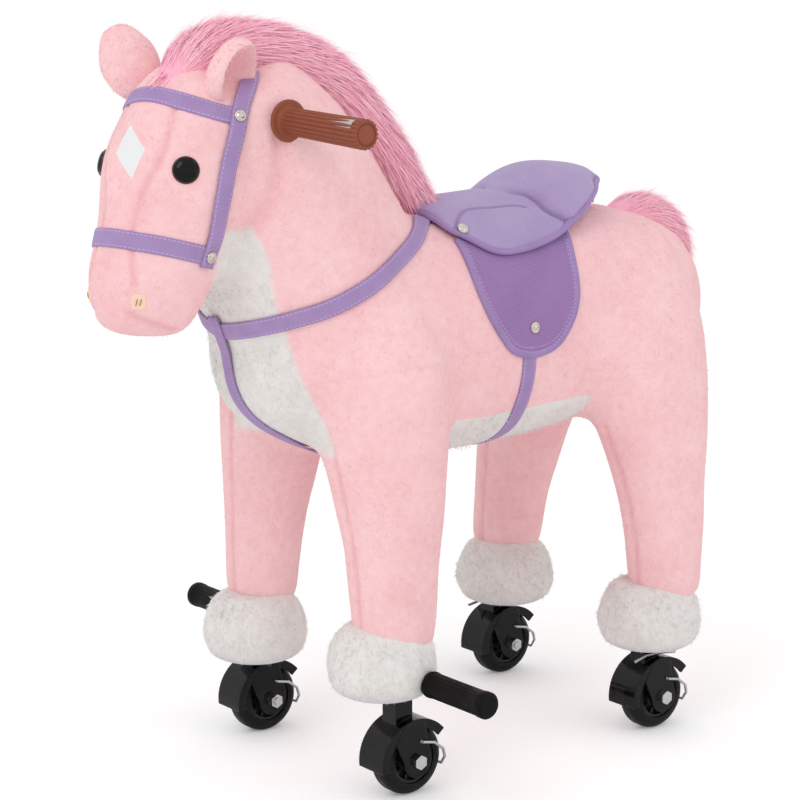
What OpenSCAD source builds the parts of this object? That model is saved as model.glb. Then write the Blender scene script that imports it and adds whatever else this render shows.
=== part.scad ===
// Plush ride-on horse on four one-way wheels, all lengths in millimetres.
// +Z is up, the horse looks along -Y and its left side is +X.
// The origin lies on the floor, midway along the length and the width.

/* [Wheels] */
// Distance between the front and the rear axles
wheelbase = 325; // [300:1:350]
// Distance between the left and the right wheel centres
track = 242; // [232:1:256]
// Middle of the wheelbase behind the origin
wheel_shift = 58; // [50:1:66]
// Tyre diameter
tyre_d = 72; // [66:1:78]
// Tyre width
tyre_w = 26; // [23:1:29]
// Seat of the tyre on the hub, diameter
rim_d = 48; // [44:1:52]
// Wheel bolt diameter
bolt_d = 8; // [6:1:9]
// Ratchet ribs inside each hub face
rib_count = 10; // [6:1:14]

/* [Forks] */
// Free space between tyre and fender
fender_gap = 3; // [2:0.5:5]
// Wall of fender and fork arms
fork_wall = 3; // [2.5:0.5:4]
// Stem centre ahead of the axle
stem_lead = 10; // [6:1:14]
// Stem block height above the fork crown
stem_h = 26; // [22:1:32]
// Stem block width
stem_w = 21; // [18:1:24]
// Wire diameter of bails and clips
wire_d = 3; // [2:0.5:3.5]

/* [Legs] */
// Leg diameter above the hoof
leg_d = 80; // [74:1:86]
// Hoof diameter
hoof_d = 104; // [96:1:112]
// Hoof height
hoof_h = 66; // [58:1:74]
// Hoof sole above the fork crown
hoof_gap = 8; // [6:1:12]
// Extra height of the front left hoof, whose plush sits higher
front_left_lift = 14; // [0:1:16]
// Extra height of the rear left hoof
rear_left_lift = 2; // [0:1:10]
// Front legs lie this much inside the wheel centres
front_leg_inset = 9; // [4:1:14]
// Rear legs lie this much behind their stems
rear_leg_back = 18; // [10:1:22]
// Front legs lie this much behind their stems
front_leg_back = 5; // [0:1:8]
// Swing of the front legs, degrees
leg_swing = 14; // [8:1:16]

/* [Body] */
// Torso length
torso_l = 566; // [540:2:590]
// Torso width
torso_w = 240; // [228:1:252]
// Torso height
torso_h = 238; // [226:1:250]
// Rise from the hooves' tops to the middle of the torso
torso_rise = 273; // [260:1:284]
// Neck length along its slant
neck_l = 292; // [276:1:308]
// Neck width at its base
neck_w = 204; // [192:1:216]
// Neck depth at its base
neck_d = 216; // [204:1:228]
// Head length from poll to chin
head_l = 256; // [244:1:268]
// Head width at the cheeks
head_w = 148; // [138:1:158]
// Head depth from forehead to cheek
head_d = 150; // [140:1:160]
// Turn of the head to the left, in degrees
head_turn = 13; // [0:1:18]
// Ear height
ear_h = 64; // [56:1:76]
// Ear width
ear_w = 58; // [50:1:64]
// Mane height over the crest
mane_h = 60; // [50:1:70]
// Mane width
mane_w = 66; // [56:1:76]
// Tail length
tail_l = 250; // [220:2:280]
// Tail width
tail_w = 62; // [52:1:70]
// Eye diameter
eye_d = 25; // [20:1:30]
// Thickness of sewn-on panels
panel_t = 1.6; // [1.2:0.1:2.4]

/* [Saddle and straps] */
// Saddle seat length
seat_l = 230; // [210:2:250]
// Saddle seat padding
seat_t = 12; // [8:1:16]
// Height of the cantle over the padding
cantle_h = 31; // [22:1:38]
// Saddle flap length down the side
flap_l = 116; // [106:2:126]
// Saddle flap width
flap_w = 166; // [152:2:176]
// Thickness of saddle flaps
flap_t = 3; // [2:0.5:4]
// Strap width
strap_w = 17; // [14:1:20]
// Strap thickness
strap_t = 2; // [1.4:0.2:2.6]
// Rivet head diameter
rivet_d = 11; // [9:1:13]

/* [Grips and pegs] */
// Distance between the ends of the hand grips
grip_span = 372; // [350:2:394]
// Hand grip diameter
grip_d = 29; // [26:1:32]
// Flange diameter of the hand grips
flange_d = 44; // [40:1:48]
// Distance between the ends of the foot pegs
peg_span = 488; // [470:2:506]
// Foot peg diameter
peg_d = 26; // [24:1:32]

/* [Frame] */
// Frame tube diameter
tube_d = 22; // [20:1:24]
// Spine tube diameter
spine_d = 32; // [28:1:36]
// Shoulder axle diameter
axle_d = 16; // [14:1:18]
// Spring wire diameter
spring_wire_d = 4; // [3:0.5:5]
// Turns of each return spring
spring_turns = 6; // [4:1:7]

/* [Hidden] */
// Clearances
run_gap = 0.05;
seat_gap = 0.3;
swing_gap = 0.8;
overrun = 2;
$fn = 48;
wire_sides = 8;

// Heights, stacked from the floor
axle_z = tyre_d / 2;
fender_r = axle_z + fender_gap + fork_wall;
crown_z = axle_z + fender_r;
sole_z = crown_z + hoof_gap;
hoof_top_z = sole_z + hoof_h;
torso_z = hoof_top_z + torso_rise;

// Places along the length
front_axle_y = wheel_shift - wheelbase / 2;
rear_axle_y = wheel_shift + wheelbase / 2;
front_stem_y = front_axle_y - stem_lead;
rear_stem_y = rear_axle_y - stem_lead;
corner_x = track / 2;
front_leg_x = corner_x - front_leg_inset;
rear_leg_y = rear_stem_y + rear_leg_back;
torso_front_share = 0.206;
torso_front_y = front_stem_y - torso_l * torso_front_share;

// Step along a form for its slope
slope_share = 0.01;
slope_angle = 1;
// Spline through rows of numbers, t from 0 to 1
function spline(rows, t) =
    let (n = len(rows) - 1,
         s = min(n - 1, max(0, floor(t * n))),
         u = t * n - s,
         a = rows[max(s - 1, 0)],
         b = rows[s],
         c = rows[s + 1],
         d = rows[min(s + 2, n)])
    (2 * b + (c - a) * u
     + (2 * a - 5 * b + 4 * c - d) * u * u
     + (3 * b - a - 3 * c + d) * u * u * u) / 2;

// A form is [foot, reach, half width, half depth, shares, roundness, corner].
// Its shares rows are [along y, along z, width, depth] from foot to tip.
function form_spine(f, t) =
    let (s = spline(f[4], t))
    [f[0][0] + f[1][0] * s[0], f[0][1] + f[1][1] * s[1]];
function form_slope(f, t) =
    let (d = form_spine(f, min(1, t + slope_share)) - form_spine(f, max(0, t - slope_share)))
    d / norm(d);
// Corner 1 gives round sections, less than 1 squarer ones
function bend(v, e) = sign(v) * pow(abs(v), e);
// Ends close round: 1 in the middle, 0 at both tips
function smooth(v) = let (u = max(0, min(1, v))) u * u * (3 - 2 * u);
function closing(t, p) = pow(max(0, 1 - pow(abs(2 * t - 1), p)), 1 / p);
// Point on the form at share t, angle a, raised by off
function form_point(f, t, a, off = 0) =
    let (s = spline(f[4], t),
         m = form_spine(f, t),
         k = form_slope(f, t),
         c = closing(t, f[5]),
         x = (f[2] * s[2] * c + off) * bend(cos(a), f[6]),
         v = (f[3] * s[3] * c + off) * bend(sin(a), f[6]))
    [x, m[0] - k[1] * v, m[1] + k[0] * v];
// Turn and lean of the skin's outward side, on the half with x above 0
function form_facing(f, t, a) =
    let (u = form_point(f, t + slope_share, a) - form_point(f, t - slope_share, a),
         v = form_point(f, t, a + slope_angle) - form_point(f, t, a - slope_angle),
         n = cross(u, v) * sign(cross(u, v)[0]))
    [atan2(n[1], n[0]), asin(n[2] / norm(n))];
function form_tip(f, t, off) =
    let (m = form_spine(f, t), k = form_slope(f, t), e = t < 0.5 ? -off : off)
    [0, m[0] + k[0] * e, m[1] + k[1] * e];
module form(f, rings, sides, off = 0) {
    shell([for (i = [1:rings - 1])
              let (t = (1 - cos(180 * i / rings)) / 2)
              [for (j = [0:sides - 1]) form_point(f, t, -360 * j / sides, off)]],
          form_tip(f, 0, off), form_tip(f, 1, off));
}
// Closed skin over rings of points, with a tip at each end
module shell(rings, tip_a, tip_b) {
    n = len(rings[0]);
    m = len(rings);
    polyhedron(concat([for (r = rings) each r], [tip_a, tip_b]), concat(
        [for (i = [0:m - 2], j = [0:n - 1]) each [
            [i * n + j, (i + 1) * n + j, (i + 1) * n + (j + 1) % n],
            [i * n + j, (i + 1) * n + (j + 1) % n, i * n + (j + 1) % n]]],
        [for (j = [0:n - 1]) [m * n, j, (j + 1) % n]],
        [for (j = [0:n - 1]) [m * n + 1, (m - 1) * n + (j + 1) % n, (m - 1) * n + j]]));
}
// Closed pad between two grids of points, rows by columns
module pad(under, over) {
    m = len(under);
    n = len(under[0]);
    k = m * n;
    rim = concat([for (j = [0:n - 2]) [j, j + 1]],
                 [for (i = [0:m - 2]) [i * n + n - 1, (i + 1) * n + n - 1]],
                 [for (j = [n - 1:-1:1]) [(m - 1) * n + j, (m - 1) * n + j - 1]],
                 [for (i = [m - 1:-1:1]) [i * n, (i - 1) * n]]);
    polyhedron(concat([for (r = under) each r], [for (r = over) each r]), concat(
        [for (i = [0:m - 2], j = [0:n - 2]) each [
            [i * n + j, (i + 1) * n + j + 1, (i + 1) * n + j],
            [i * n + j, i * n + j + 1, (i + 1) * n + j + 1]]],
        [for (i = [0:m - 2], j = [0:n - 2]) each [
            [k + i * n + j, k + (i + 1) * n + j, k + (i + 1) * n + j + 1],
            [k + i * n + j, k + (i + 1) * n + j + 1, k + i * n + j + 1]]],
        [for (e = rim) each [[e[0], k + e[0], k + e[1]], [e[0], k + e[1], e[1]]]]));
}
// Round wire through a list of points
module wire(path, d, sides = wire_sides) {
    n = len(path) - 1;
    dirs = [for (i = [0:n]) let (v = path[min(i + 1, n)] - path[max(i - 1, 0)]) v / norm(v)];
    shell([for (i = [0:n])
              let (p = cross(dirs[i], abs(dirs[i][0]) > 0.9 ? [0, 1, 0] : [1, 0, 0]),
                   a = p / norm(p),
                   b = cross(dirs[i], a))
              [for (j = [0:sides - 1])
                  path[i] + d / 2 * (a * cos(360 * j / sides) + b * sin(360 * j / sides))]],
          path[0], path[n]);
}
// Tube along X between two places
module cross_tube(x0, x1, y, z, d) {
    translate([x0, y, z]) rotate([0, 90, 0]) cylinder(d = d, h = x1 - x0);
}
// Straight tube between two places in the middle plane, given as [y, z]
module plane_tube(a, b, d) {
    v = b - a;
    translate([0, a[0], a[1]]) rotate([-atan2(v[0], v[1]), 0, 0]) cylinder(d = d, h = norm(v));
}
module mirrored(side) {
    mirror([side < 0 ? 1 : 0, 0, 0]) children();
}
module both_sides() {
    children();
    mirror([1, 0, 0]) children();
}

// Torso: chest, barrel and rump along Y
torso_shares = [
    [0, 0.050, 0.90, 0.90], [0.2, 0.020, 1.00, 0.98], [0.4, 0, 0.97, 1.00],
    [0.6, 0.010, 0.96, 0.98], [0.8, 0.035, 1.02, 0.94], [1, 0.045, 0.94, 0.86]];
torso_round = 3.3;
square_corner_share = 0.86;
round_corner_share = 1;
torso_form = [[torso_front_y, torso_z], [torso_l, torso_h], torso_w / 2, torso_h / 2,
              torso_shares, torso_round, square_corner_share];
torso_rings = 15;
torso_sides = 24;
module torso_skin(off = 0) {
    form(torso_form, torso_rings, torso_sides, off);
}
function torso_share_at(y) = (y - torso_front_y) / torso_l;

// Shoulder hinge in the flank
hinge_y = front_stem_y;
hinge_drop_share = 0.10;
hinge_z = torso_z - torso_h * hinge_drop_share;
hinge = [hinge_y, hinge_z];
module swung(angle) {
    translate([0, hinge_y, hinge_z]) rotate([angle, 0, 0]) translate([0, -hinge_y, -hinge_z]) children();
}

// Neck: slants forward out of the chest
neck_foot_share = 0.235;
neck_slant = 26;
neck_foot = [torso_front_y + torso_l * neck_foot_share, torso_z];
neck_reach = [-neck_l * sin(neck_slant), neck_l * cos(neck_slant)];
neck_shares = [
    [0, 0, 1.02, 1.04], [0.2, 0.22, 1.03, 1.04], [0.45, 0.47, 0.96, 0.98],
    [0.7, 0.73, 0.84, 0.86], [1, 1, 0.72, 0.66]];
neck_round = 4;
neck_form = [neck_foot, neck_reach, neck_w / 2, neck_d / 2, neck_shares, neck_round, round_corner_share];
neck_rings = 12;
neck_sides = 20;
module neck_skin(off = 0) {
    form(neck_form, neck_rings, neck_sides, off);
}

// Head: hangs from the poll, forward and down to the chin
head_lead_share = 0.15;
head_lift_share = 0.05;
head_slant = 19;
head_foot = [neck_foot[0] + neck_reach[0] - neck_d / 2 * head_lead_share,
             neck_foot[1] + neck_reach[1] + head_l * head_lift_share];
head_reach = [-head_l * sin(head_slant), -head_l * cos(head_slant)];
head_shares = [
    [0, 0, 0.80, 0.85], [0.14, 0.25, 1.00, 1.02], [0.42, 0.46, 1.00, 1.00],
    [0.74, 0.67, 0.82, 0.80], [0.93, 0.85, 0.76, 0.76], [1, 1, 0.80, 0.80]];
head_round = 2.9;
head_form = [head_foot, head_reach, head_w / 2, head_d / 2, head_shares, head_round, square_corner_share];
head_rings = 13;
head_sides = 20;
head_pivot_share = 0.45;
head_pivot_y = head_foot[0] + head_reach[0] * head_pivot_share;
module head_turned() {
    translate([0, head_pivot_y, 0]) rotate([0, 0, head_turn]) translate([0, -head_pivot_y, 0]) children();
}
module head_skin(off = 0) {
    head_turned() form(head_form, head_rings, head_sides, off);
}

// Inner steel frame
handle_along_share = 0.855;
handle = form_spine(neck_form, handle_along_share);
bearing_share = 0.25;
bearing_half = torso_w * bearing_share;
tube_wall = 4;
bearing_d = axle_d + 2 * tube_wall;
boss_share = 0.14;
boss_half = neck_w * boss_share;
spine_rear = [rear_stem_y, hinge_z];
module main_frame_form(off = 0) {
    cross_tube(-bearing_half - off, bearing_half + off, hinge_y, hinge_z, bearing_d + 2 * off);
    plane_tube(hinge, spine_rear, spine_d + 2 * off);
    plane_tube(hinge, handle, tube_d + 2 * off);
    cross_tube(-boss_half - off, boss_half + off, handle[0], handle[1],
               grip_tube_d + 2 * tube_wall + 2 * off);
    cross_tube(-corner_x, corner_x, rear_stem_y, hinge_z, tube_d + 2 * off);
    both_sides() leg_tube(rear_stem_y, hinge_z, tube_d + 2 * off);
}
tube_foot_z = crown_z + stem_h;
module leg_tube(y, top, d) {
    translate([corner_x, y, tube_foot_z]) cylinder(d = d, h = top - tube_foot_z);
}
tube_bore_wall = 3;
spigot_d = tube_d - 2 * tube_bore_wall;
spigot_share = 1.6;
spigot_h = stem_h * spigot_share;
module spigot_bore(y) {
    translate([corner_x, y, tube_foot_z - overrun])
        cylinder(d = spigot_d + 2 * seat_gap, h = spigot_h + overrun + seat_gap);
}
module main_frame() color("dimgray") difference() {
    main_frame_form();
    cross_tube(-bearing_half - overrun, bearing_half + overrun, hinge_y, hinge_z, axle_d + 2 * run_gap);
    cross_tube(-boss_half - overrun, boss_half + overrun, handle[0], handle[1], grip_tube_d + 2 * run_gap);
    both_sides() spigot_bore(rear_stem_y);
}

// Shoulder axle, front leg tubes with their heads and peg rods
leg_head_wall = 7;
leg_head_d = axle_d + 2 * leg_head_wall;
leg_head_half = tube_d / 2 + leg_head_wall / 2;
axle_half = corner_x + leg_head_half;
module shoulder_axle() color("silver") cross_tube(-axle_half, axle_half, hinge_y, hinge_z, axle_d);
peg_back_share = 0.5;
peg_y = front_stem_y + tube_d * peg_back_share;
peg_z_share = 0.48;
peg_z = sole_z + hoof_h * peg_z_share;
peg_rod_d = 10;
peg_end_wall = 4;
peg_half = peg_span / 2;
module front_tube_form(off = 0) {
    leg_tube(front_stem_y, hinge_z, tube_d + 2 * off);
    cross_tube(corner_x - leg_head_half - off, corner_x + leg_head_half + off, hinge_y, hinge_z,
               leg_head_d + 2 * off);
    cross_tube(corner_x, peg_half - peg_end_wall, peg_y, peg_z, peg_rod_d + 2 * off);
}
module front_leg_tubes() color("dimgray") both_sides() difference() {
    front_tube_form();
    cross_tube(corner_x - leg_head_half - overrun, corner_x + leg_head_half + overrun, hinge_y, hinge_z,
               axle_d + 2 * run_gap);
    spigot_bore(front_stem_y);
}
// Torsion springs wound round the axle, between bearing tube and leg heads
spring_room = corner_x - leg_head_half - bearing_half;
spring_x0 = bearing_half + seat_gap + spring_wire_d / 2;
spring_run = spring_room - seat_gap - swing_gap - spring_wire_d;
spring_steps = 8;
spring_r = (axle_d / 2 + seat_gap + spring_wire_d / 2) / cos(180 / spring_steps);
spring_room_d = 2 * spring_r + spring_wire_d + 2 * swing_gap;
spring_path = [for (i = [0:spring_turns * spring_steps])
    let (a = 360 * i / spring_steps)
    [spring_x0 + spring_run * i / (spring_turns * spring_steps),
     hinge_y + spring_r * cos(a), hinge_z + spring_r * sin(a)]];
spring_sides = 6;
module return_springs() color("gray") both_sides() wire(spring_path, spring_wire_d, spring_sides);

// Torso with room for the frame and for the swinging leg heads
module torso() color("pink") difference() {
    torso_skin();
    main_frame_form(seat_gap);
    both_sides() {
        cross_tube(bearing_half - overrun, torso_w, hinge_y, hinge_z, spring_room_d);
        cross_tube(corner_x - leg_head_half - swing_gap, torso_w, hinge_y, hinge_z,
                   leg_head_d + 2 * swing_gap);
        for (a = [0, -leg_swing / 2, -leg_swing])
            swung(a) leg_tube(front_stem_y, hinge_z, tube_d + 4 * swing_gap);
    }
}
module neck() color("pink") difference() {
    neck_skin();
    torso_skin(seat_gap);
    main_frame_form(seat_gap);
    cross_tube(-neck_w, neck_w, handle[0], handle[1], grip_tube_d + 2 * seat_gap);
    both_sides() cross_tube(flange_x - seat_gap, neck_w, handle[0], handle[1], flange_d + 2 * seat_gap);
}
module head() color("pink") difference() {
    head_skin();
    neck_skin(seat_gap);
}

// Ears: rounded cups that open outwards
ear_along_share = 0.10;
ear_angle = -8;
ear_splay = 36;
ear_turn = 10;
ear_out_share = -0.06;
ear_sink_share = 0.26;
ear_t_share = 0.46;
ear_place = form_point(head_form, ear_along_share, ear_angle);
ear_shares = [[0, 0, 0.75, 0.9], [0, 0.3, 0.92, 1], [0, 0.6, 1.06, 1], [0, 1, 1, 0.8]];
ear_round = 2.4;
ear_form = [[0, -ear_h * ear_sink_share], [ear_w, ear_h * (1 + ear_sink_share)],
            ear_w * ear_t_share / 2, ear_w / 2, ear_shares, ear_round, round_corner_share];
ear_rings = 9;
ear_sides = 14;
ear_cup_rings = 8;
ear_cup_sides = 12;
ear_cup_share = 0.72;
ear_cup_out_share = 0.24;
module ear_skin() {
    difference() {
        form(ear_form, ear_rings, ear_sides);
        translate([ear_w * ear_cup_out_share, 0, ear_h * (1 - ear_cup_share) / 2])
            scale(ear_cup_share) form(ear_form, ear_cup_rings, ear_cup_sides);
    }
}
module ear_placed(side) {
    head_turned() mirrored(side) translate(ear_place + [ear_w * ear_out_share, 0, 0])
        rotate([0, ear_splay, 0]) rotate([0, 0, ear_turn]) ear_skin();
}
module ear(side) color("lightpink") difference() {
    ear_placed(side);
    head_skin(seat_gap);
    neck_skin(seat_gap);
}
module left_ear() ear(1);
module right_ear() ear(-1);

// Mane: a long-pile crest from the forelock to the saddle
seat_front_share = 0.385;
seat_front_y = torso_front_y + torso_l * seat_front_share;
mane_low_share = 0.139;
mane_low = [seat_front_y + seat_l * mane_low_share, torso_z + torso_h / 2];
mane_reach = [head_foot[0] - mane_low[0], head_foot[1] - mane_low[1]];
mane_shares = [
    [0, 0, 0.45, 0.50], [0.083, 0.154, 0.65, 0.70], [0.226, 0.487, 0.75, 0.85],
    [0.447, 0.872, 0.85, 0.95], [0.665, 1.05, 0.95, 1.00], [0.898, 1.10, 1.00, 1.00],
    [1.056, 1.026, 0.90, 0.90], [1.158, 0.872, 0.60, 0.60]];
mane_round = 6;
mane_rings = 16;
mane_sides = 12;
mane_form = [mane_low, mane_reach, mane_w / 2, mane_h / 2, mane_shares, mane_round, round_corner_share];
module mane() color("hotpink") difference() {
    form(mane_form, mane_rings, mane_sides);
    neck_skin(seat_gap);
    head_skin(seat_gap);
    torso_skin(seat_gap);
    pad(seat_grid(false, -flap_t - 2 * seat_gap - overrun), seat_grid(true, seat_gap));
}

// Tail: springs from the rump and hangs behind it
tail_top_share = 0.86;
tail_rise_share = 0.40;
tail_top = [torso_front_y + torso_l * tail_top_share, torso_z + torso_h * tail_rise_share];
tail_out_share = 0.150;
tail_out = torso_l * tail_out_share;
tail_shares = [
    [0, 0.03, 0.80, 0.80], [0.46, 0.00, 0.90, 0.90], [0.86, 0.08, 1.00, 1.02],
    [1.02, 0.32, 1.00, 1.00], [1.06, 0.62, 0.92, 0.90], [1.02, 1.00, 0.45, 0.45]];
tail_round = 4;
tail_form = [tail_top, [tail_out, -tail_l], tail_w / 2, tail_w / 2,
             tail_shares, tail_round, round_corner_share];
tail_rings = 13;
tail_sides = 12;
module tail() color("hotpink") difference() {
    form(tail_form, tail_rings, tail_sides);
    torso_skin(seat_gap);
}

// White panels lie on the plush, cut out of a thicker skin
module chest_block() {
    translate([0, torso_front_y, chest_mid_z])
        rotate([chest_tilt, 0, 0])
            scale([chest_half_w, chest_reach, chest_half_h]) sphere(1);
}
chest_mid_share = 0.06;
chest_mid_z = torso_z + torso_h * chest_mid_share;
chest_tilt = -12;
chest_w_share = 0.30;
chest_half_w = torso_w * chest_w_share;
chest_reach_share = 0.5;
chest_reach = torso_w * chest_reach_share;
chest_h_share = 0.56;
chest_half_h = torso_h * chest_h_share;
module front_skin(off) {
    torso_skin(off);
    neck_skin(off);
}
module chest_panel() color("white") difference() {
    intersection() {
        front_skin(seat_gap + panel_t);
        chest_block();
    }
    front_skin(seat_gap);
    head_skin(seat_gap);
}
// Strip of the torso's skin between two shares and two angles
function strip(t0, t1, a0, a1, off, rows, cols) =
    [for (i = [0:rows])
        [for (j = [0:cols])
            form_point(torso_form, t0 + (t1 - t0) * i / rows, a1 + (a0 - a1) * j / cols, off)]];
module torso_strip(t0, t1, a0, a1, low, high, rows, cols) {
    pad(strip(t0, t1, a0, a1, low, rows, cols), strip(t0, t1, a0, a1, high, rows, cols));
}
belly_from_share = 0.36;
belly_to_share = 0.67;
belly_angle = 42;
belly_rows = 8;
belly_cols = 10;
module belly_panel() color("white")
    torso_strip(belly_from_share, belly_to_share, -90 - belly_angle, -90 + belly_angle,
                seat_gap, seat_gap + panel_t, belly_rows, belly_cols);

// Rear legs, fixed to the torso
rear_leg_shares = [
    [0, 0, 1.00, 1.00], [-0.01, 0.18, 1.02, 1.04], [-0.05, 0.36, 1.16, 1.34],
    [-0.12, 0.56, 1.42, 1.80], [-0.20, 0.80, 1.50, 2.00], [-0.30, 1.04, 0.90, 1.50]];
leg_round = 9;
leg_rings = 11;
leg_sides = 18;
leg_top_share = 0.34;
function leg_form(y, foot_z, shares) =
    [[y, foot_z], [leg_d, torso_z + torso_h * leg_top_share - foot_z], leg_d / 2, leg_d / 2,
     shares, leg_round, round_corner_share];
// The leg's middle line leans inwards by this share of its width towards the top
leg_lean_share = 0.9;
module leg_skin(x, y, foot_z, shares) {
    f = leg_form(y, foot_z, shares);
    lean = leg_d * leg_lean_share;
    shell([for (i = [1:leg_rings - 1])
              let (t = (1 - cos(180 * i / leg_rings)) / 2)
              [for (j = [0:leg_sides - 1])
                  let (q = form_point(f, t, -360 * j / leg_sides))
                  [x - lean * t * t + q[0], q[1], q[2]]]],
          [x, y, foot_z], form_tip(f, 1, 0) + [x - lean, 0, 0]);
}
module rear_leg(lift) color("pink") difference() {
    leg_skin(corner_x, rear_leg_y, hoof_top_z + lift + seat_gap, rear_leg_shares);
    torso_skin(seat_gap);
    main_frame_form(seat_gap);
}
module rear_left_leg() rear_leg(rear_left_lift);
module rear_right_leg() mirrored(-1) rear_leg(0);

// Front legs, cut by the torso over their whole swing
front_leg_shares = [
    [0, 0, 1.00, 1.00], [0.02, 0.2, 1.03, 1.02], [0.05, 0.4, 1.20, 1.18],
    [0.06, 0.6, 1.52, 1.40], [0.06, 0.8, 1.76, 1.50], [0.08, 1.02, 1.10, 1.00]];
module front_leg(lift) color("pink") difference() {
    leg_skin(front_leg_x, front_stem_y + front_leg_back, hoof_top_z + lift + seat_gap, front_leg_shares);
    for (a = [0, leg_swing / 2, leg_swing])
        swung(a) torso_skin(swing_gap);
    front_tube_form(seat_gap);
    cross_tube(0, axle_half + seat_gap, hinge_y, hinge_z, axle_d + 2 * seat_gap);
    cross_tube(0, corner_x - leg_head_half, hinge_y, hinge_z, spring_room_d);
}
module front_left_leg() front_leg(front_left_lift);
module front_right_leg() mirrored(-1) front_leg(0);

// Hooves: white plush bells on the leg ends
hoof_lead_share = 0.07;
hoof_inset_share = 0.05;
hoof_top_r = leg_d / 2;
hoof_r = hoof_d / 2;
hoof_profile_shares = [
    [0, 0], [0.62, 0], [0.86, 0.10], [0.98, 0.28], [1, 0.45], [0.94, 0.66], [0.84, 0.86]];
module hoof_skin() {
    rotate_extrude()
        polygon(concat([for (s = hoof_profile_shares) [s[0] * hoof_r, s[1] * hoof_h]],
                       [[hoof_top_r, hoof_h], [0, hoof_h]]));
}
module hoof(x, y, lift) color("whitesmoke") difference() {
    translate([x - hoof_d * hoof_inset_share, y - hoof_d * hoof_lead_share, sole_z + lift]) hoof_skin();
    translate([corner_x, stem_of(y), 0]) stem_block(seat_gap);
    if (y < 0) front_tube_form(seat_gap);
    else main_frame_form(seat_gap);
}
function stem_of(y) = y < 0 ? front_stem_y : rear_stem_y;
module front_left_hoof() hoof(front_leg_x, front_stem_y, front_left_lift);
module front_right_hoof() mirrored(-1) hoof(front_leg_x, front_stem_y, 0);
module rear_left_hoof() hoof(corner_x, rear_leg_y, rear_left_lift);
module rear_right_hoof() mirrored(-1) hoof(corner_x, rear_leg_y, 0);

// Face
eye_along_share = 0.40;
eye_angle = -41;
eye_dome_share = 0.34;
eye_place = form_point(head_form, eye_along_share, eye_angle, seat_gap);
eye_turn = -41;
module eye() translate(eye_place) rotate([0, 0, eye_turn]) rotate([0, 90, 0]) {
    scale([1, 1, eye_dome_share * 2]) intersection() {
        sphere(d = eye_d);
        cylinder(d = eye_d * 2, h = eye_d);
    }
}
module eyes() color("black") difference() {
    head_turned() both_sides() eye();
    head_skin(seat_gap / 2);
}
nostril_along_share = 0.84;
nostril_angle = -54;
nostril_d_share = 0.6;
nostril_d = eye_d * nostril_d_share;
nostril_facing = form_facing(head_form, nostril_along_share, nostril_angle);
module nostrils() color("peachpuff") head_turned() both_sides()
    translate(form_point(head_form, nostril_along_share, nostril_angle, seat_gap))
        rotate([0, 0, nostril_facing[0]]) rotate([0, 90 - nostril_facing[1], 0])
            cylinder(d = nostril_d, h = panel_t);
blaze_along_share = 0.385;
blaze_w_share = 0.125;
blaze_half_w = head_w * blaze_w_share;
blaze_h_share = 0.105;
blaze_half_h = head_l * blaze_h_share;
module blaze() color("white") intersection() {
    difference() {
        head_skin(seat_gap + panel_t);
        head_skin(seat_gap);
    }
    head_turned() translate(form_point(head_form, blaze_along_share, -90)) rotate([-90 + head_slant, 0, 0])
        linear_extrude(head_d / 2, center = true)
            polygon([[blaze_half_w, 0], [0, blaze_half_h], [-blaze_half_w, 0], [0, -blaze_half_h]]);
}

// Saddle: padded seat with a raised cantle, over two flaps
seat_from = torso_share_at(seat_front_y);
seat_to = torso_share_at(seat_front_y + seat_l);
seat_rows = 16;
seat_cols = 16;
seat_edge_t = 4;
seat_angle_shares = [0.54, 0.92, 1, 0.94, 0.80, 0.58, 0.24];
seat_angle = 48;
cantle_from_share = 0.50;
cantle_run_share = 0.30;
cantle_side_share = -0.20;
// Half angle of the seat's outline at share s of its length
function seat_half(s) = seat_angle * spline([for (v = seat_angle_shares) [v]], s)[0];
function seat_crown(s, c) = (1 - pow(c, 4)) * sqrt(closing(s, 3));
// The cantle climbs to the rear rim, which stays level across while the back falls away
function cantle_ramp(s) = smooth((s - cantle_from_share) / cantle_run_share);
function cantle_crown(s, c) = cantle_ramp(s) * (1 + cantle_side_share * c * c);
function seat_rise(s, c) =
    seat_edge_t + seat_t * seat_crown(s, c) * (1 - cantle_ramp(s)) + cantle_h * cantle_crown(s, c);
function seat_grid(over, off = 0) =
    [for (i = [0:seat_rows])
        let (s = i / seat_rows, h = seat_half(s))
        [for (j = [0:seat_cols])
            let (c = 2 * j / seat_cols - 1)
            form_point(torso_form, seat_from + (seat_to - seat_from) * s, 90 - c * h,
                       flap_t + 2 * seat_gap + (over ? seat_rise(s, c) : 0) + off)]];
module saddle_seat() color("mediumpurple") difference() {
    pad(seat_grid(false), seat_grid(true));
    neck_skin(seat_gap);
}
flap_mid_share = 0.289;
flap_mid = torso_share_at(seat_front_y + seat_l * flap_mid_share);
flap_top_angle = 48;
flap_half = flap_w / 2 / torso_l;
flap_drop = flap_l / (torso_h / 2) * 180 / PI;
flap_taper_share = 0.24;
flap_end_share = 0.995;
flap_rows = 14;
flap_cols = 12;
// Half width of the flap's outline at share s of its drop
function flap_width(s) = flap_half * (1 - flap_taper_share * s) * sqrt(max(0, 1 - pow(s, 4)));
function flap_grid(off) =
    [for (i = [0:flap_rows])
        let (s = i / flap_rows * flap_end_share)
        [for (j = [0:flap_cols])
            form_point(torso_form, flap_mid + flap_width(s) * (1 - 2 * j / flap_cols),
                       flap_top_angle - flap_drop * s, off)]];
module left_saddle_flap() color("mediumpurple") difference() {
    pad(flap_grid(seat_gap), flap_grid(seat_gap + flap_t));
    neck_skin(seat_gap);
}
module right_saddle_flap() mirrored(-1) left_saddle_flap();

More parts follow.
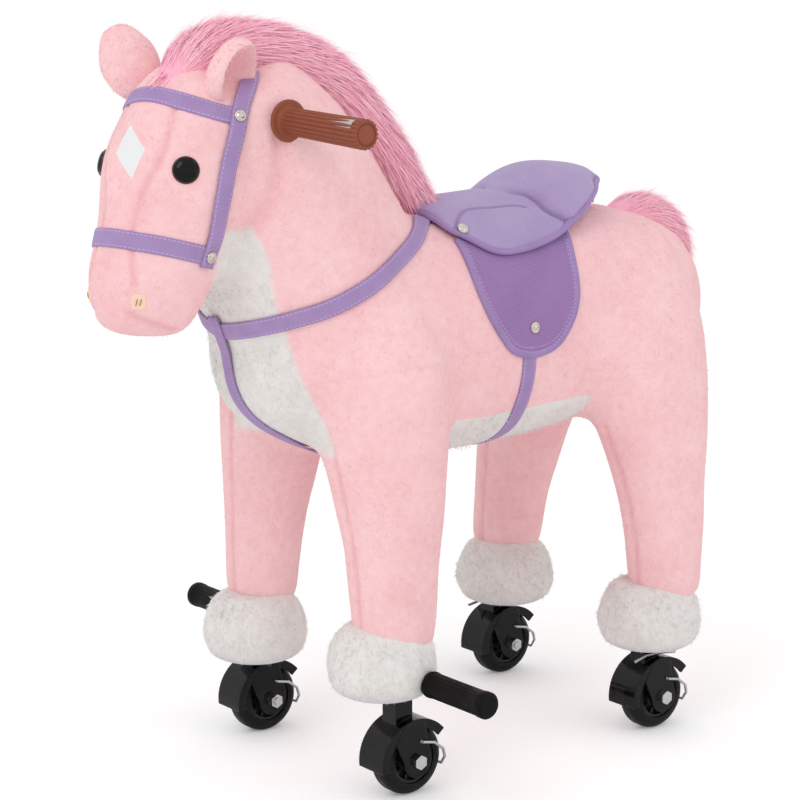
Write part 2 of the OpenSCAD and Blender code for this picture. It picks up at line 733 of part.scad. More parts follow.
// Straps round the torso
girth_half = strap_w / 2 / torso_l;
girth_angle = flap_top_angle - flap_drop;
girth_low = seat_gap * 2 + panel_t;
girth_rows = 2;
girth_cols = 24;
module girth_strap() color("mediumpurple")
    torso_strip(flap_mid - girth_half, flap_mid + girth_half, -180 - girth_angle, girth_angle,
                girth_low, girth_low + strap_t, girth_rows, girth_cols);
breast_front_share = 0.10;
breast_rise = 23;
breast_z = torso_z + torso_h * breast_front_share;
module breast_slab() {
    translate([0, torso_front_y, breast_z]) rotate([breast_rise, 0, 0])
        translate([-torso_w, -torso_l / 4, -strap_w / 2])
            cube([2 * torso_w, torso_l * breast_reach_share, strap_w]);
}
breast_reach_share = 0.65;
breast_low = 2 * seat_gap + panel_t;
module breast_strap() color("mediumpurple") difference() {
    intersection() {
        front_skin(breast_low + strap_t);
        breast_slab();
    }
    front_skin(breast_low);
    form(mane_form, mane_rings, mane_sides, seat_gap);
    both_sides() pad(flap_grid(-overrun), flap_grid(seat_gap * 2 + flap_t));
}
torso_sag = torso_h / 2 * (1 - cos(180 / torso_sides));
martingale_low = breast_low + torso_sag;
module martingale_strap() color("mediumpurple") difference() {
    intersection() {
        torso_skin(martingale_low + strap_t);
        translate([-strap_w / 2, torso_front_y - torso_w, torso_z - torso_h])
            cube([strap_w, torso_w * 2, torso_h + breast_z - torso_z - strap_w]);
        translate([-strap_w, torso_front_y - torso_w, torso_z - torso_h])
            cube([2 * strap_w, torso_w + torso_l * martingale_share, 2 * torso_h]);
    }
    torso_skin(martingale_low);
}
martingale_share = 0.46;

// Bridle: bands of the head's skin
module head_band(low) {
    difference() {
        head_skin(low + strap_t);
        head_skin(low);
    }
}
brow_share = 0.145;
brow_tilt = -8;
nose_share = 0.60;
nose_tilt = 2;
module head_slab(share, tilt) {
    q = form_spine(head_form, share);
    head_turned() translate([0, q[0], q[1]]) rotate([tilt - head_slant, 0, 0])
        cube([2 * head_w, 2 * head_d, strap_w], center = true);
}
module browband() color("mediumpurple") difference() {
    intersection() {
        head_band(seat_gap);
        head_slab(brow_share, brow_tilt);
        head_turned() translate([-head_w, form_spine(head_form, brow_share)[0] - 2 * head_d, 0])
            cube([2 * head_w, 2 * head_d, torso_z + 2 * neck_l]);
    }
    neck_skin(seat_gap);
    form(mane_form, mane_rings, mane_sides, seat_gap);
    for (side = [1, -1]) ear_placed(side);
}
module noseband() color("mediumpurple") difference() {
    intersection() {
        head_band(seat_gap);
        head_slab(nose_share, nose_tilt);
    }
    front_skin(2 * seat_gap + panel_t);
}
cheek_low = seat_gap * 2 + strap_t;
cheek_back_share = -0.10;
cheek_top_share = -0.10;
cheek_foot = form_spine(head_form, nose_share) + [head_d * cheek_back_share, -strap_w / 2];
cheek_top = form_spine(head_form, brow_share) + [head_d * cheek_top_share, 0];
cheek_v = cheek_top - cheek_foot;
// Bar across the head along the cheek line, up over the poll
module cheek_slab() {
    head_turned() translate([0, cheek_foot[0], cheek_foot[1]]) rotate([-atan2(cheek_v[0], cheek_v[1]), 0, 0])
        translate([-head_w, -strap_w / 2, 0]) cube([2 * head_w, strap_w, norm(cheek_v) + strap_w]);
}
module headstall_strap() color("mediumpurple") difference() {
    intersection() {
        head_band(cheek_low);
        cheek_slab();
    }
    neck_skin(seat_gap);
    form(mane_form, mane_rings, mane_sides, seat_gap);
    for (side = [1, -1]) ear_placed(side);
}

// Rivets: domed heads on the straps, flaps and seat
rivet_h_share = 0.26;
rivet_h = rivet_d * rivet_h_share;
module rivet_head(place, lean, turn) {
    translate(place) rotate([0, 0, turn]) rotate([0, 90 - lean, 0]) {
        cylinder(d = rivet_d, h = rivet_h / 2);
        translate([0, 0, rivet_h / 2]) cylinder(d1 = rivet_d, d2 = rivet_d / 2, h = rivet_h / 2);
    }
}
flap_rivet_share = 0.84;
seat_rivet_share = 0.09;
seat_rivet_out_share = 0.84;
seat_rivet_angle = seat_half(seat_rivet_share) * seat_rivet_out_share;
seat_rivet_along = seat_from + (seat_to - seat_from) * seat_rivet_share;
seat_rivet_tilt = 14;
cheek_rivet_angle = -14;
brow_rivet_lean = 20;
nose_rivet_lean = -14;
module strap_rivets() color("silver") {
    both_sides() {
        rivet_head(form_point(torso_form, seat_rivet_along, 90 - seat_rivet_angle,
                              flap_t + 9 * seat_gap + seat_rise(seat_rivet_share, seat_rivet_out_share)),
                   90 - seat_rivet_angle - seat_rivet_tilt, 0);
        rivet_head(form_point(torso_form, flap_mid, flap_top_angle - flap_drop * flap_rivet_share,
                              2 * seat_gap + flap_t), 0, 0);
    }
    head_turned() both_sides() {
        rivet_head(form_point(head_form, brow_share, cheek_rivet_angle, cheek_low + strap_t + 2 * seat_gap),
                   brow_rivet_lean, cheek_rivet_angle);
        rivet_head(form_point(head_form, nose_share, cheek_rivet_angle, cheek_low + strap_t + 2 * seat_gap),
                   nose_rivet_lean, cheek_rivet_angle);
    }
}

// Handlebar tube through the neck, with a flanged grip on each end
grip_tube_d = 16;
grip_end_wall = 5;
flange_t = 4;
grip_half = grip_span / 2;
flange_x = form_point(neck_form, handle_along_share, 0)[0] + seat_gap;
module handlebar_tube() color("silver")
    cross_tube(-grip_half + grip_end_wall, grip_half - grip_end_wall, handle[0], handle[1], grip_tube_d);
flute_count = 16;
flute_d_share = 0.1;
grip_groove_share = 0.86;
grip_collar = 10;
module grip() difference() {
    union() {
        cross_tube(flange_x, flange_x + flange_t, handle[0], handle[1], flange_d);
        cross_tube(flange_x, grip_half, handle[0], handle[1], grip_d);
    }
    cross_tube(flange_x - overrun, grip_half - grip_end_wall, handle[0], handle[1],
               grip_tube_d + 2 * run_gap);
    for (k = [0:flute_count - 1])
        translate([flange_x + flange_t + grip_collar, handle[0], handle[1]])
            rotate([360 * k / flute_count, 0, 0]) translate([0, grip_d / 2, 0]) rotate([0, 90, 0])
                cylinder(d = grip_d * flute_d_share, h = grip_half - flange_x - flange_t - 2 * grip_collar);
}
module hand_grips() color("saddlebrown") both_sides() grip();

// Foot pegs: sleeves on the rods of the front leg tubes, with a collar at the hoof
peg_start_share = 0.30;
peg_start = corner_x + hoof_d * peg_start_share;
peg_face_share = 0.375;
peg_face = corner_x + hoof_d * peg_face_share;
peg_collar_share = 0.85;
peg_chamfer = 2;
module foot_pegs() color("black") both_sides() difference() {
    union() {
        cross_tube(peg_face, peg_half - peg_chamfer, peg_y, peg_z, peg_d);
        translate([peg_half - peg_chamfer, peg_y, peg_z]) rotate([0, 90, 0])
            cylinder(d1 = peg_d, d2 = peg_d - 2 * peg_chamfer, h = peg_chamfer);
        cross_tube(peg_start, peg_face + overrun, peg_y, peg_z, peg_d * peg_collar_share);
    }
    cross_tube(peg_start - overrun, peg_half - peg_end_wall, peg_y, peg_z, peg_rod_d + 2 * run_gap);
    translate([front_leg_x - hoof_d * hoof_inset_share, front_stem_y - hoof_d * hoof_lead_share, sole_z])
        cylinder(r = hoof_r + seat_gap, h = hoof_h + front_left_lift);
}

// Wheels: places and forks
module at_corner(side, axle_y) {
    translate([side * corner_x, axle_y, axle_z]) mirrored(side) children();
}
arm_in = tyre_w / 2 + fender_gap;
arm_out = arm_in + fork_wall;
arm_proud_share = 0.2;
arm_face = arm_out + fork_wall * arm_proud_share;
hub_disc_share = 0.34;
hub_disc_r = rim_d * hub_disc_share;
fender_front = -8;
fender_rear = 140;
skirt_r = axle_z - fender_gap;
stem_d_share = 0.95;
stem_d = stem_w * stem_d_share;
// Stem block and spigot, from the crown up into the leg tube
module stem_block(off = 0) {
    translate([-stem_w / 2 - off, -stem_d / 2 - off, crown_z - fender_gap - fork_wall])
        cube([stem_w + 2 * off, stem_d + 2 * off, stem_h + fender_gap + fork_wall + off]);
}
module fender() {
    mirror([0, 1, 0]) rotate([0, -90, 0]) rotate([0, 0, 90 - fender_rear])
        rotate_extrude(angle = fender_rear - fender_front)
            difference() {
                translate([skirt_r, -arm_out]) square([fender_r - skirt_r, 2 * arm_out]);
                translate([0, -arm_in]) square([fender_r - fork_wall, 2 * arm_in]);
            }
}
arm_shares = [[-0.62, 0.5], [-0.35, 0.92], [0.2, 0.92]];
module fork_arm() {
    translate([arm_in, 0, 0]) rotate([90, 0, 90]) linear_extrude(arm_face - arm_in) {
        circle(r = hub_disc_r);
        polygon(concat([[-hub_disc_r, 0]], fender_r * arm_shares, [[hub_disc_r, 0]]));
    }
}
bail_y_share = 0.05;
bail_y = tyre_d * bail_y_share;
bail_z_share = 0.27;
bail_z = tyre_d * bail_z_share;
module fork_form() {
    difference() {
        union() {
            fender();
            both_sides() fork_arm();
            difference() {
                translate([0, -stem_lead, -axle_z]) stem_block();
                cross_tube(-stem_w, stem_w, 0, 0, 2 * fender_r - fork_wall);
            }
            translate([0, -stem_lead, tube_foot_z - axle_z - overrun])
                cylinder(d = spigot_d, h = spigot_h + overrun);
        }
        cross_tube(-arm_face - overrun, arm_face + overrun, 0, 0, bolt_d + 2 * run_gap);
        cross_tube(-arm_face - overrun, arm_face + overrun, bail_y, bail_z, wire_d + 4 * run_gap);
    }
}
module front_left_fork() color([0.08, 0.08, 0.08]) at_corner(1, front_axle_y) fork_form();
module front_right_fork() color([0.08, 0.08, 0.08]) at_corner(-1, front_axle_y) fork_form();
module rear_left_fork() color([0.08, 0.08, 0.08]) at_corner(1, rear_axle_y) fork_form();
module rear_right_fork() color([0.08, 0.08, 0.08]) at_corner(-1, rear_axle_y) fork_form();

// Tyre: solid ring with rounded shoulders
tyre_shoulder_share = 0.36;
module tyre_form() {
    r = tyre_w * tyre_shoulder_share;
    rotate([0, 90, 0]) rotate_extrude() difference() {
        union() {
            translate([rim_d / 2, -tyre_w / 2]) square([(tyre_d - rim_d) / 2 - r, tyre_w]);
            translate([rim_d / 2, -tyre_w / 2 + r]) square([(tyre_d - rim_d) / 2, tyre_w - 2 * r]);
            for (k = [-1, 1])
                translate([tyre_d / 2 - r, k * (tyre_w / 2 - r)]) circle(r);
        }
        translate([0, -tyre_w]) square([rim_d / 2, 2 * tyre_w]);
    }
}
module front_left_tyre() color([0.12, 0.12, 0.12]) at_corner(1, front_axle_y) tyre_form();
module front_right_tyre() color([0.12, 0.12, 0.12]) at_corner(-1, front_axle_y) tyre_form();
module rear_left_tyre() color([0.12, 0.12, 0.12]) at_corner(1, rear_axle_y) tyre_form();
module rear_right_tyre() color([0.12, 0.12, 0.12]) at_corner(-1, rear_axle_y) tyre_form();

// Hub: rim, web and boss, with ratchet ribs in both recesses
hub_w_share = 0.86;
hub_w = tyre_w * hub_w_share;
rim_wall = 3;
web_t = 6;
boss_r = bolt_d / 2 + rim_wall;
module hub_form() {
    difference() {
        union() {
            rotate([0, 90, 0]) rotate_extrude() {
                translate([rim_d / 2 - rim_wall, -hub_w / 2]) square([rim_wall - 2 * run_gap, hub_w]);
                translate([boss_r / 2, -web_t / 2]) square([rim_d / 2 - rim_wall / 2 - boss_r / 2, web_t]);
                translate([boss_r / 2, -arm_in + seat_gap]) square([boss_r / 2, 2 * (arm_in - seat_gap)]);
                translate([0, -arm_in + seat_gap]) square([boss_r / 2, 2 * (arm_in - seat_gap)]);
            }
            for (k = [0:rib_count - 1])
                rotate([360 * k / rib_count, 0, 0])
                    translate([-hub_w * rib_w_share / 2, boss_r * rib_from_share, -rib_t / 2])
                        cube([hub_w * rib_w_share, rib_l, rib_t]);
        }
        cross_tube(-arm_in - overrun, arm_in + overrun, 0, 0, bolt_d + 2 * run_gap);
    }
}
rib_t = 2;
rib_w_share = 0.7;
rib_from_share = 1.9;
rib_l = rim_d / 2 - rim_wall / 2 - boss_r * rib_from_share;
module front_left_hub() color([0.2, 0.2, 0.2]) at_corner(1, front_axle_y) hub_form();
module front_right_hub() color([0.2, 0.2, 0.2]) at_corner(-1, front_axle_y) hub_form();
module rear_left_hub() color([0.2, 0.2, 0.2]) at_corner(1, rear_axle_y) hub_form();
module rear_right_hub() color([0.2, 0.2, 0.2]) at_corner(-1, rear_axle_y) hub_form();

// Wheel bolts with hex heads outside and lock nuts inside
bolt_head_share = 0.66;
bolt_head_h = bolt_d * bolt_head_share;
bolt_hex_share = 1.85;
bolt_hex_d = bolt_d * bolt_hex_share;
bolt_tail_share = 0.25;
hex_sides = 6;
nut_h = bolt_d;
bolt_tail = nut_h + bolt_d * bolt_tail_share;
module bolt_form() {
    cross_tube(-arm_face - bolt_tail, arm_face, 0, 0, bolt_d);
    translate([arm_face, 0, 0]) rotate([0, 90, 0]) cylinder(d = bolt_hex_d, h = bolt_head_h, $fn = hex_sides);
}
module nut_form() {
    difference() {
        translate([-arm_face - nut_h, 0, 0]) rotate([0, 90, 0])
            cylinder(d = bolt_hex_d, h = nut_h, $fn = hex_sides);
        cross_tube(-arm_face - bolt_tail - overrun, overrun, 0, 0, bolt_d + 2 * run_gap);
    }
}
module front_axle_bolts() color("silver") for (s = [1, -1]) at_corner(s, front_axle_y) bolt_form();
module rear_axle_bolts() color("silver") for (s = [1, -1]) at_corner(s, rear_axle_y) bolt_form();
module front_axle_nuts() color("silver") for (s = [1, -1]) at_corner(s, front_axle_y) nut_form();
module rear_axle_nuts() color("silver") for (s = [1, -1]) at_corner(s, rear_axle_y) nut_form();

// Bail: wire loop hinged in the fork arms, closing behind the tyre
bail_bar_y = tyre_d / 2 + wire_d;
bail_side_share = 0.75;
bail_half = arm_face + wire_d * bail_side_share;
// Rows are [towards the middle, behind the pivot, below the pivot]
bail_shares = [
    [0, 0, 0], [0, 0.40, 0.16], [0.06, 0.74, 0.62], [0.25, 0.90, 1.15], [0.55, 0.925, 1.60]];
bail_reach = bail_bar_y - bail_y;
module bail_form() {
    half = [for (q = bail_shares)
        [bail_half * (1 - q[0]), bail_y + bail_reach * q[1], bail_z * (1 - q[2])]];
    pivot = [[arm_in + seat_gap, bail_y, bail_z], [bail_half - wire_d / 2, bail_y, bail_z]];
    wire(concat(pivot, half,
        [for (k = [len(half) - 1:-1:0]) [-half[k][0], half[k][1], half[k][2]]],
        [for (k = [1, 0]) [-pivot[k][0], pivot[k][1], pivot[k][2]]]), wire_d);
}
module front_left_bail() color("silver") at_corner(1, front_axle_y) bail_form();
module front_right_bail() color("silver") at_corner(-1, front_axle_y) bail_form();
module rear_left_bail() color("silver") at_corner(1, rear_axle_y) bail_form();
module rear_right_bail() color("silver") at_corner(-1, rear_axle_y) bail_form();

// Wire clips that lock the rear stems, laid along their sides
clip_z_share = 0.5;
clip_x = stem_w / 2 + wire_d / 2 + seat_gap;
clip_front_share = 1.3;
clip_rear_share = 1.6;
clip_path = [[clip_x, stem_d * clip_rear_share, -wire_d], [clip_x, stem_d / 2, 0],
             [clip_x, -stem_d / 2, 0], [clip_x + wire_d / 2, -stem_d * clip_front_share, -wire_d]];
module rear_stem_clips() color("silver") for (s = [1, -1])
    translate([s * corner_x, rear_stem_y, crown_z + hoof_gap * clip_z_share]) mirrored(s)
        wire(clip_path, wire_d);

torso();
neck();
head();
left_ear();
right_ear();
mane();
tail();
chest_panel();
belly_panel();
blaze();
eyes();
nostrils();
saddle_seat();
left_saddle_flap();
right_saddle_flap();
girth_strap();
breast_strap();
martingale_strap();
browband();
headstall_strap();
noseband();
strap_rivets();
handlebar_tube();
hand_grips();
main_frame();
shoulder_axle();
front_leg_tubes();
return_springs();
rear_left_leg();
rear_right_leg();
rear_left_hoof();
rear_right_hoof();
front_left_leg();
front_right_leg();
front_left_hoof();
front_right_hoof();
foot_pegs();
front_left_fork();
front_right_fork();
rear_left_fork();
rear_right_fork();
front_left_tyre();
front_right_tyre();
rear_left_tyre();
rear_right_tyre();
front_left_hub();
front_right_hub();
rear_left_hub();
rear_right_hub();
front_axle_bolts();
rear_axle_bolts();
front_axle_nuts();
rear_axle_nuts();
front_left_bail();
front_right_bail();
rear_left_bail();
rear_right_bail();
rear_stem_clips();
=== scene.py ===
import bpy
import bmesh
import numpy as np
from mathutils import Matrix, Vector


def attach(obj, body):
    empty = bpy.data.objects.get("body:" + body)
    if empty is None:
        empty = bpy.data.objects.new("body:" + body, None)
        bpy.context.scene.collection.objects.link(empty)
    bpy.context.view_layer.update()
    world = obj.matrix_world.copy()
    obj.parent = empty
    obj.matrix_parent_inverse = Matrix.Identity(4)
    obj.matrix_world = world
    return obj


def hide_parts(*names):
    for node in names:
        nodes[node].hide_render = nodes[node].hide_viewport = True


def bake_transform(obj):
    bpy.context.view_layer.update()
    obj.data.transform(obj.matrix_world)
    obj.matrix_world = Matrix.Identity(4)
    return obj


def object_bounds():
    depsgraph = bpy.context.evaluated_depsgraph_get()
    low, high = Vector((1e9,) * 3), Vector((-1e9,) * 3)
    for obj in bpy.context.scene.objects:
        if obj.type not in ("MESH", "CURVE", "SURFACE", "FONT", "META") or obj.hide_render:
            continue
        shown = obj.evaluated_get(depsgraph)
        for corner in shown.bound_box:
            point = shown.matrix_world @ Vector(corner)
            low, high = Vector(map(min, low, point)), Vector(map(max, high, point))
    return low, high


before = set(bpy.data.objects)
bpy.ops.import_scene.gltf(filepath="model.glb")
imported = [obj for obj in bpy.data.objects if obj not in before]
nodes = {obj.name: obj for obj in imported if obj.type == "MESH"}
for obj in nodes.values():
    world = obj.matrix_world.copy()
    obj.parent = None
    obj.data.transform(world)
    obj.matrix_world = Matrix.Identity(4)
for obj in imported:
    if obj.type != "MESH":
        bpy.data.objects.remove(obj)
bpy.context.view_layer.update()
scene = bpy.context.scene
mm = 0.001
print("frame loaded:", len(nodes), "nodes")


# Camera and light
photoCamera = {"place": (1.92826, -1.52111, 0.84097), "aim": (-0.0383, 0.0129, 0.3472), "lens": 112.3}
cameraData = bpy.data.cameras.new("photoCamera")
cameraData.lens = photoCamera["lens"]
cameraData.sensor_width = 36
camera = bpy.data.objects.new("photoCamera", cameraData)
camera.location = photoCamera["place"]
look = Vector(photoCamera["aim"]) - Vector(photoCamera["place"])
camera.rotation_euler = look.to_track_quat("-Z", "Y").to_euler()
scene.collection.objects.link(camera)
scene.camera = camera
scene.view_settings.view_transform = "Standard"


def hexColour(code):
    # sRGB hex to linear RGBA
    c = np.array([int(code[i:i + 2], 16) for i in (0, 2, 4)]) / 255
    lin = np.where(c <= 0.04045, c / 12.92, ((c + 0.055) / 1.055) ** 2.4)
    return (*lin.tolist(), 1.0)


def setInputs(tree, node, inputs):
    # an input is a value, a hex colour, a socket, or a node that gives its first live output
    for key, value in inputs.items():
        if isinstance(value, bpy.types.Node):
            value = next(socket for socket in value.outputs if socket.enabled)
        if isinstance(value, bpy.types.NodeSocket):
            tree.links.new(value, node.inputs[key])
        else:
            node.inputs[key].default_value = hexColour(value) if isinstance(value, str) else value


def addNode(tree, kind, inputs={}, **settings):
    # one node with its settings and links
    node = tree.nodes.new("ShaderNode" + kind)
    for key, value in settings.items():
        setattr(node, key, value)
    setInputs(tree, node, inputs)
    return node


def newMaterial(name, constants):
    # a material with one Principled shader and its constant sockets set
    material = bpy.data.materials.new(name)
    material.use_nodes = True
    shader = material.node_tree.nodes["Principled BSDF"]
    setInputs(material.node_tree, shader, constants)
    return material, material.node_tree, shader


studio = {"ambient": 0.85, "key": 15.0, "fill": 4.0}
world = bpy.data.worlds.new("whiteRoom")
scene.world = world
world.use_nodes = True
tree = world.node_tree
tree.nodes.clear()
path = addNode(tree, "LightPath")
seen = addNode(tree, "Math", {0: path.outputs["Is Camera Ray"], 1: path.outputs["Is Glossy Ray"]},
               operation="MAXIMUM")
seen = addNode(tree, "Math", {0: seen, 1: path.outputs["Is Transmission Ray"]}, operation="MAXIMUM")
room = addNode(tree, "Background", {"Color": (1, 1, 1, 1), "Strength": studio["ambient"]})
white = addNode(tree, "Background", {"Color": (1, 1, 1, 1), "Strength": 1.0})
mixed = addNode(tree, "MixShader", {0: seen, 1: room, 2: white})
addNode(tree, "OutputWorld", {"Surface": mixed})


def softBox(name, place, aim, size, power):
    data = bpy.data.lights.new(name, "AREA")
    data.shape, data.size, data.energy = "DISK", size, power
    lamp = bpy.data.objects.new(name, data)
    lamp.location = place
    lamp.rotation_euler = (Vector(aim) - Vector(place)).to_track_quat("-Z", "Y").to_euler()
    scene.collection.objects.link(lamp)


softBox("keyLight", (0.9, -2.1, 2.4), (0, 0, 0.35), 1.6, studio["key"])
softBox("fillLight", (2.4, 1.6, 1.3), (0, 0.1, 0.35), 1.8, studio["fill"])


# Meshes
def meshFrom(name, points, faces):
    mesh = bpy.data.meshes.new(name)
    mesh.from_pydata(np.asarray(points, float).tolist(), [], faces if isinstance(faces, list) else faces.tolist())
    mesh.update()
    return mesh


def turnOutward(mesh):
    # turns the faces of closed shells outwards
    bm = bmesh.new()
    bm.from_mesh(mesh)
    bmesh.ops.recalc_face_normals(bm, faces=bm.faces)
    bm.to_mesh(mesh)
    bm.free()


def newPiece(name, mesh, material, body=None, replaces=(), smooth=True, outward=True):
    if outward:
        turnOutward(mesh)
    mesh.polygons.foreach_set("use_smooth", np.full(len(mesh.polygons), smooth))
    mesh.materials.append(material)
    piece = bpy.data.objects.new(name, mesh)
    scene.collection.objects.link(piece)
    if body:
        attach(piece, body)
    if replaces:
        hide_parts(*replaces)
    return piece


def throughModifier(mesh, kind, **settings):
    # the mesh that one modifier makes of another
    holder = bpy.data.objects.new("holder", mesh)
    scene.collection.objects.link(holder)
    modifier = holder.modifiers.new("once", kind)
    for key, value in settings.items():
        setattr(modifier, key, value)
    made = bpy.data.meshes.new_from_object(holder.evaluated_get(bpy.context.evaluated_depsgraph_get()))
    bpy.data.objects.remove(holder)
    return made


def readArray(items, key, width, kind=float):
    # one property of all the items, as rows of that width
    out = np.empty(len(items) * width, kind)
    items.foreach_get(key, out)
    return out.reshape(-1, width)


def gridFaces(rows, cols, start=0, wrap=False):
    # quads of a grid of points; wrap joins the last column to the first
    i, j = np.meshgrid(np.arange(rows - 1), np.arange(cols if wrap else cols - 1), indexing="ij")
    k = (j + 1) % cols
    return (start + np.stack([i * cols + j, i * cols + k, (i + 1) * cols + k, (i + 1) * cols + j], -1)).reshape(-1, 4)


def tubeFaces(rows, cols):
    # quads round a tube of rings, with a cap on each end
    ends = [list(range(cols)), list(range((rows - 1) * cols, rows * cols))]
    return gridFaces(rows, cols, 0, True).tolist() + ends


def joined(shells):
    # several shells of (points, faces) as one
    points, faces, start = [], [], 0
    for p, f in shells:
        points.append(p)
        faces += [[start + i for i in face] for face in f]
        start += len(p)
    return np.concatenate(points), faces


def roundSteps(sides):
    return np.linspace(0, 2 * np.pi, sides, endpoint=False)


def unit(v):
    return v / np.maximum(np.linalg.norm(v, axis=-1, keepdims=True), 1e-9)


otherSide = np.array([-1, 1, 1])


def onSide(points, side):
    # side is 1 on the left and -1 on the right
    return np.asarray(points) * np.array([side, 1, 1])


# Forms: a swelling body along a line in the middle plane, as in the solids
def splineRows(rows, t):
    # Catmull-Rom through the rows, t from 0 to 1
    rows, t = np.asarray(rows, float), np.asarray(t, float)
    n = len(rows) - 1
    s = np.clip(np.floor(t * n).astype(int), 0, n - 1)
    u = (t * n - s)[..., None]
    a, b, c, d = rows[np.maximum(s - 1, 0)], rows[s], rows[s + 1], rows[np.minimum(s + 2, n)]
    return (2 * b + (c - a) * u + (2 * a - 5 * b + 4 * c - d) * u ** 2 + (3 * b - a - 3 * c + d) * u ** 3) / 2


def formLine(form, t):
    return np.array(form["foot"]) + np.array(form["reach"]) * splineRows(form["rows"], t)[..., :2]


def formPoint(form, t, angle, off=0.0):
    # section at t is |cos|^corner by |sin|^corner, closed round at both ends by (1 - |2t - 1|^p)^(1/p)
    t, angle = np.broadcast_arrays(np.asarray(t, float), np.radians(angle))
    s, line = splineRows(form["rows"], t), formLine(form, t)
    k = unit(formLine(form, np.minimum(1, t + 0.01)) - formLine(form, np.maximum(0, t - 0.01)))
    p, e = form["round"], form.get("corner", 1.0)
    close = np.maximum(0, 1 - np.abs(2 * t - 1) ** p) ** (1 / p)
    x = (form["half"][0] * s[..., 2] * close + off) * np.sign(np.cos(angle)) * np.abs(np.cos(angle)) ** e
    v = (form["half"][1] * s[..., 3] * close + off) * np.sign(np.sin(angle)) * np.abs(np.sin(angle)) ** e
    x = x + form.get("x", 0.0) - form.get("lean", 0.0) * t * t
    return np.stack([x, line[..., 0] - k[..., 1] * v, line[..., 1] + k[..., 0] * v], -1)


def loft(form, rings, sides, place=formPoint):
    # closed surface of a form: rings crowd towards both ends, t = (1 - cos) / 2
    t = (1 - np.cos(np.pi * np.arange(1, rings) / rings)) / 2
    points = place(form, t[:, None], (360 * np.arange(sides) / sides)[None])
    tips = place(form, np.array([0.0, 1.0]), np.array([90.0, 90.0]))
    n = (rings - 1) * sides
    j = np.arange(sides)
    faces = gridFaces(rings - 1, sides, 0, True).tolist()
    faces += np.stack([np.full(sides, n), (j + 1) % sides, j], 1).tolist()
    faces += np.stack([np.full(sides, n + 1), n - sides + j, n - sides + (j + 1) % sides], 1).tolist()
    return np.concatenate([points.reshape(-1, 3), tips]), faces


horse = {
    "torso": {"foot": (-0.231096, 0.425), "reach": (0.566, 0.238), "half": (0.120, 0.119), "round": 3.3,
              "corner": 0.86, "rows": [[0, .050, .90, .90], [.2, .020, 1, .98], [.4, 0, .97, 1],
                                       [.6, .010, .96, .98], [.8, .035, 1.02, .94], [1, .045, .94, .86]]},
    "neck": {"foot": (-0.098086, 0.425), "reach": (-0.128004, 0.262448), "half": (0.102, 0.108), "round": 4,
             "rows": [[0, 0, 1.02, 1.04], [.2, .22, 1.03, 1.04], [.45, .47, .96, .98], [.7, .73, .84, .86],
                      [1, 1, .72, .66]]},
    "head": {"foot": (-0.242290, 0.700248), "reach": (-0.083345, -0.242053), "half": (0.074, 0.075),
             "round": 2.9, "corner": 0.86,
             "rows": [[0, 0, .80, .85], [.14, .25, 1, 1.02], [.42, .46, 1, 1], [.74, .67, .82, .80],
                      [.93, .85, .755, .78], [1, 1.01, .76, .83]]},
    "rearLeg": {"foot": (0.2285, 0.1400), "reach": (0.080, 0.36592), "half": (0.040, 0.040), "round": 9,
                "x": 0.121, "lean": 0.072,
                "rows": [[0, 0, 1, 1], [-.01, .18, 1.02, 1.04], [-.05, .36, 1.14, 1.26],
                         [-.12, .56, 1.40, 1.70], [-.20, .80, 1.50, 2], [-.30, 1.04, .90, 1.50]]},
    "frontLeg": {"foot": (-0.1095, 0.1400), "reach": (0.080, 0.36592), "half": (0.040, 0.040), "round": 9,
                 "x": 0.112, "lean": 0.072,
                 "rows": [[0, 0, .90, .90], [.02, .2, .97, .97], [.05, .4, 1.20, 1.18], [.06, .6, 1.52, 1.40],
                          [.06, .8, 1.76, 1.50], [.08, 1.02, 1.10, 1]]},
    "mane": {"foot": (0.018794, 0.544), "reach": (-0.261080, 0.156248), "half": (0.033, 0.030), "round": 6,
             "rows": [[0, 0, .45, .50], [.083, .154, .65, .70], [.226, .487, .75, .85], [.447, .872, .85, .95],
                      [.665, 1.05, .95, 1], [.898, 1.10, 1, 1], [1.056, 1.026, .9, .9], [1.158, .872, .6, .6]]},
    "tail": {"foot": (0.255664, 0.5202), "reach": (0.0849, -0.250), "half": (0.031, 0.031), "round": 4,
             "rows": [[0, .03, .80, .80], [.46, 0, .90, .90], [.86, .08, 1, 1.02], [1.02, .32, 1, 1],
                      [1.06, .62, .92, .90], [1.02, 1, .45, .45]]},
}


headTurn = {"angle": 13.0, "pivot": -0.279796}  # degrees to the left about an upright line at that y


def turned(points, angle=headTurn["angle"]):
    a = np.radians(angle)
    x, y = points[..., 0], points[..., 1] - headTurn["pivot"]
    return np.stack([x * np.cos(a) - y * np.sin(a), x * np.sin(a) + y * np.cos(a) + headTurn["pivot"],
                     points[..., 2]], -1)


def acrossHead(points):
    # the same places on the head's other side
    return turned(turned(np.asarray(points, float), -headTurn["angle"]) * otherSide)


def step(v, start, end):
    # smooth rise from 0 at start to 1 at end
    u = np.clip((v - start) / (end - start), 0, 1)
    return u * u * (3 - 2 * u)


face = {"wedge": 0.36, "brow": (0.06, 0.28), "nose": (0.60, 0.82), "release": 0.7}


def headPlace(form, t, angle):
    # the face narrows towards the ridge of the nose, most between brow and nose: x (1 - wedge w),
    # w = max(0, -sin)^1.5
    p = formPoint(form, t, angle)
    front = np.maximum(0, -np.sin(np.radians(angle))) ** 1.5
    share = face["wedge"] * step(t, *face["brow"]) * (1 - face["release"] * step(t, *face["nose"])) * front
    return p * np.stack([1 - share, np.ones_like(share), np.ones_like(share)], -1)


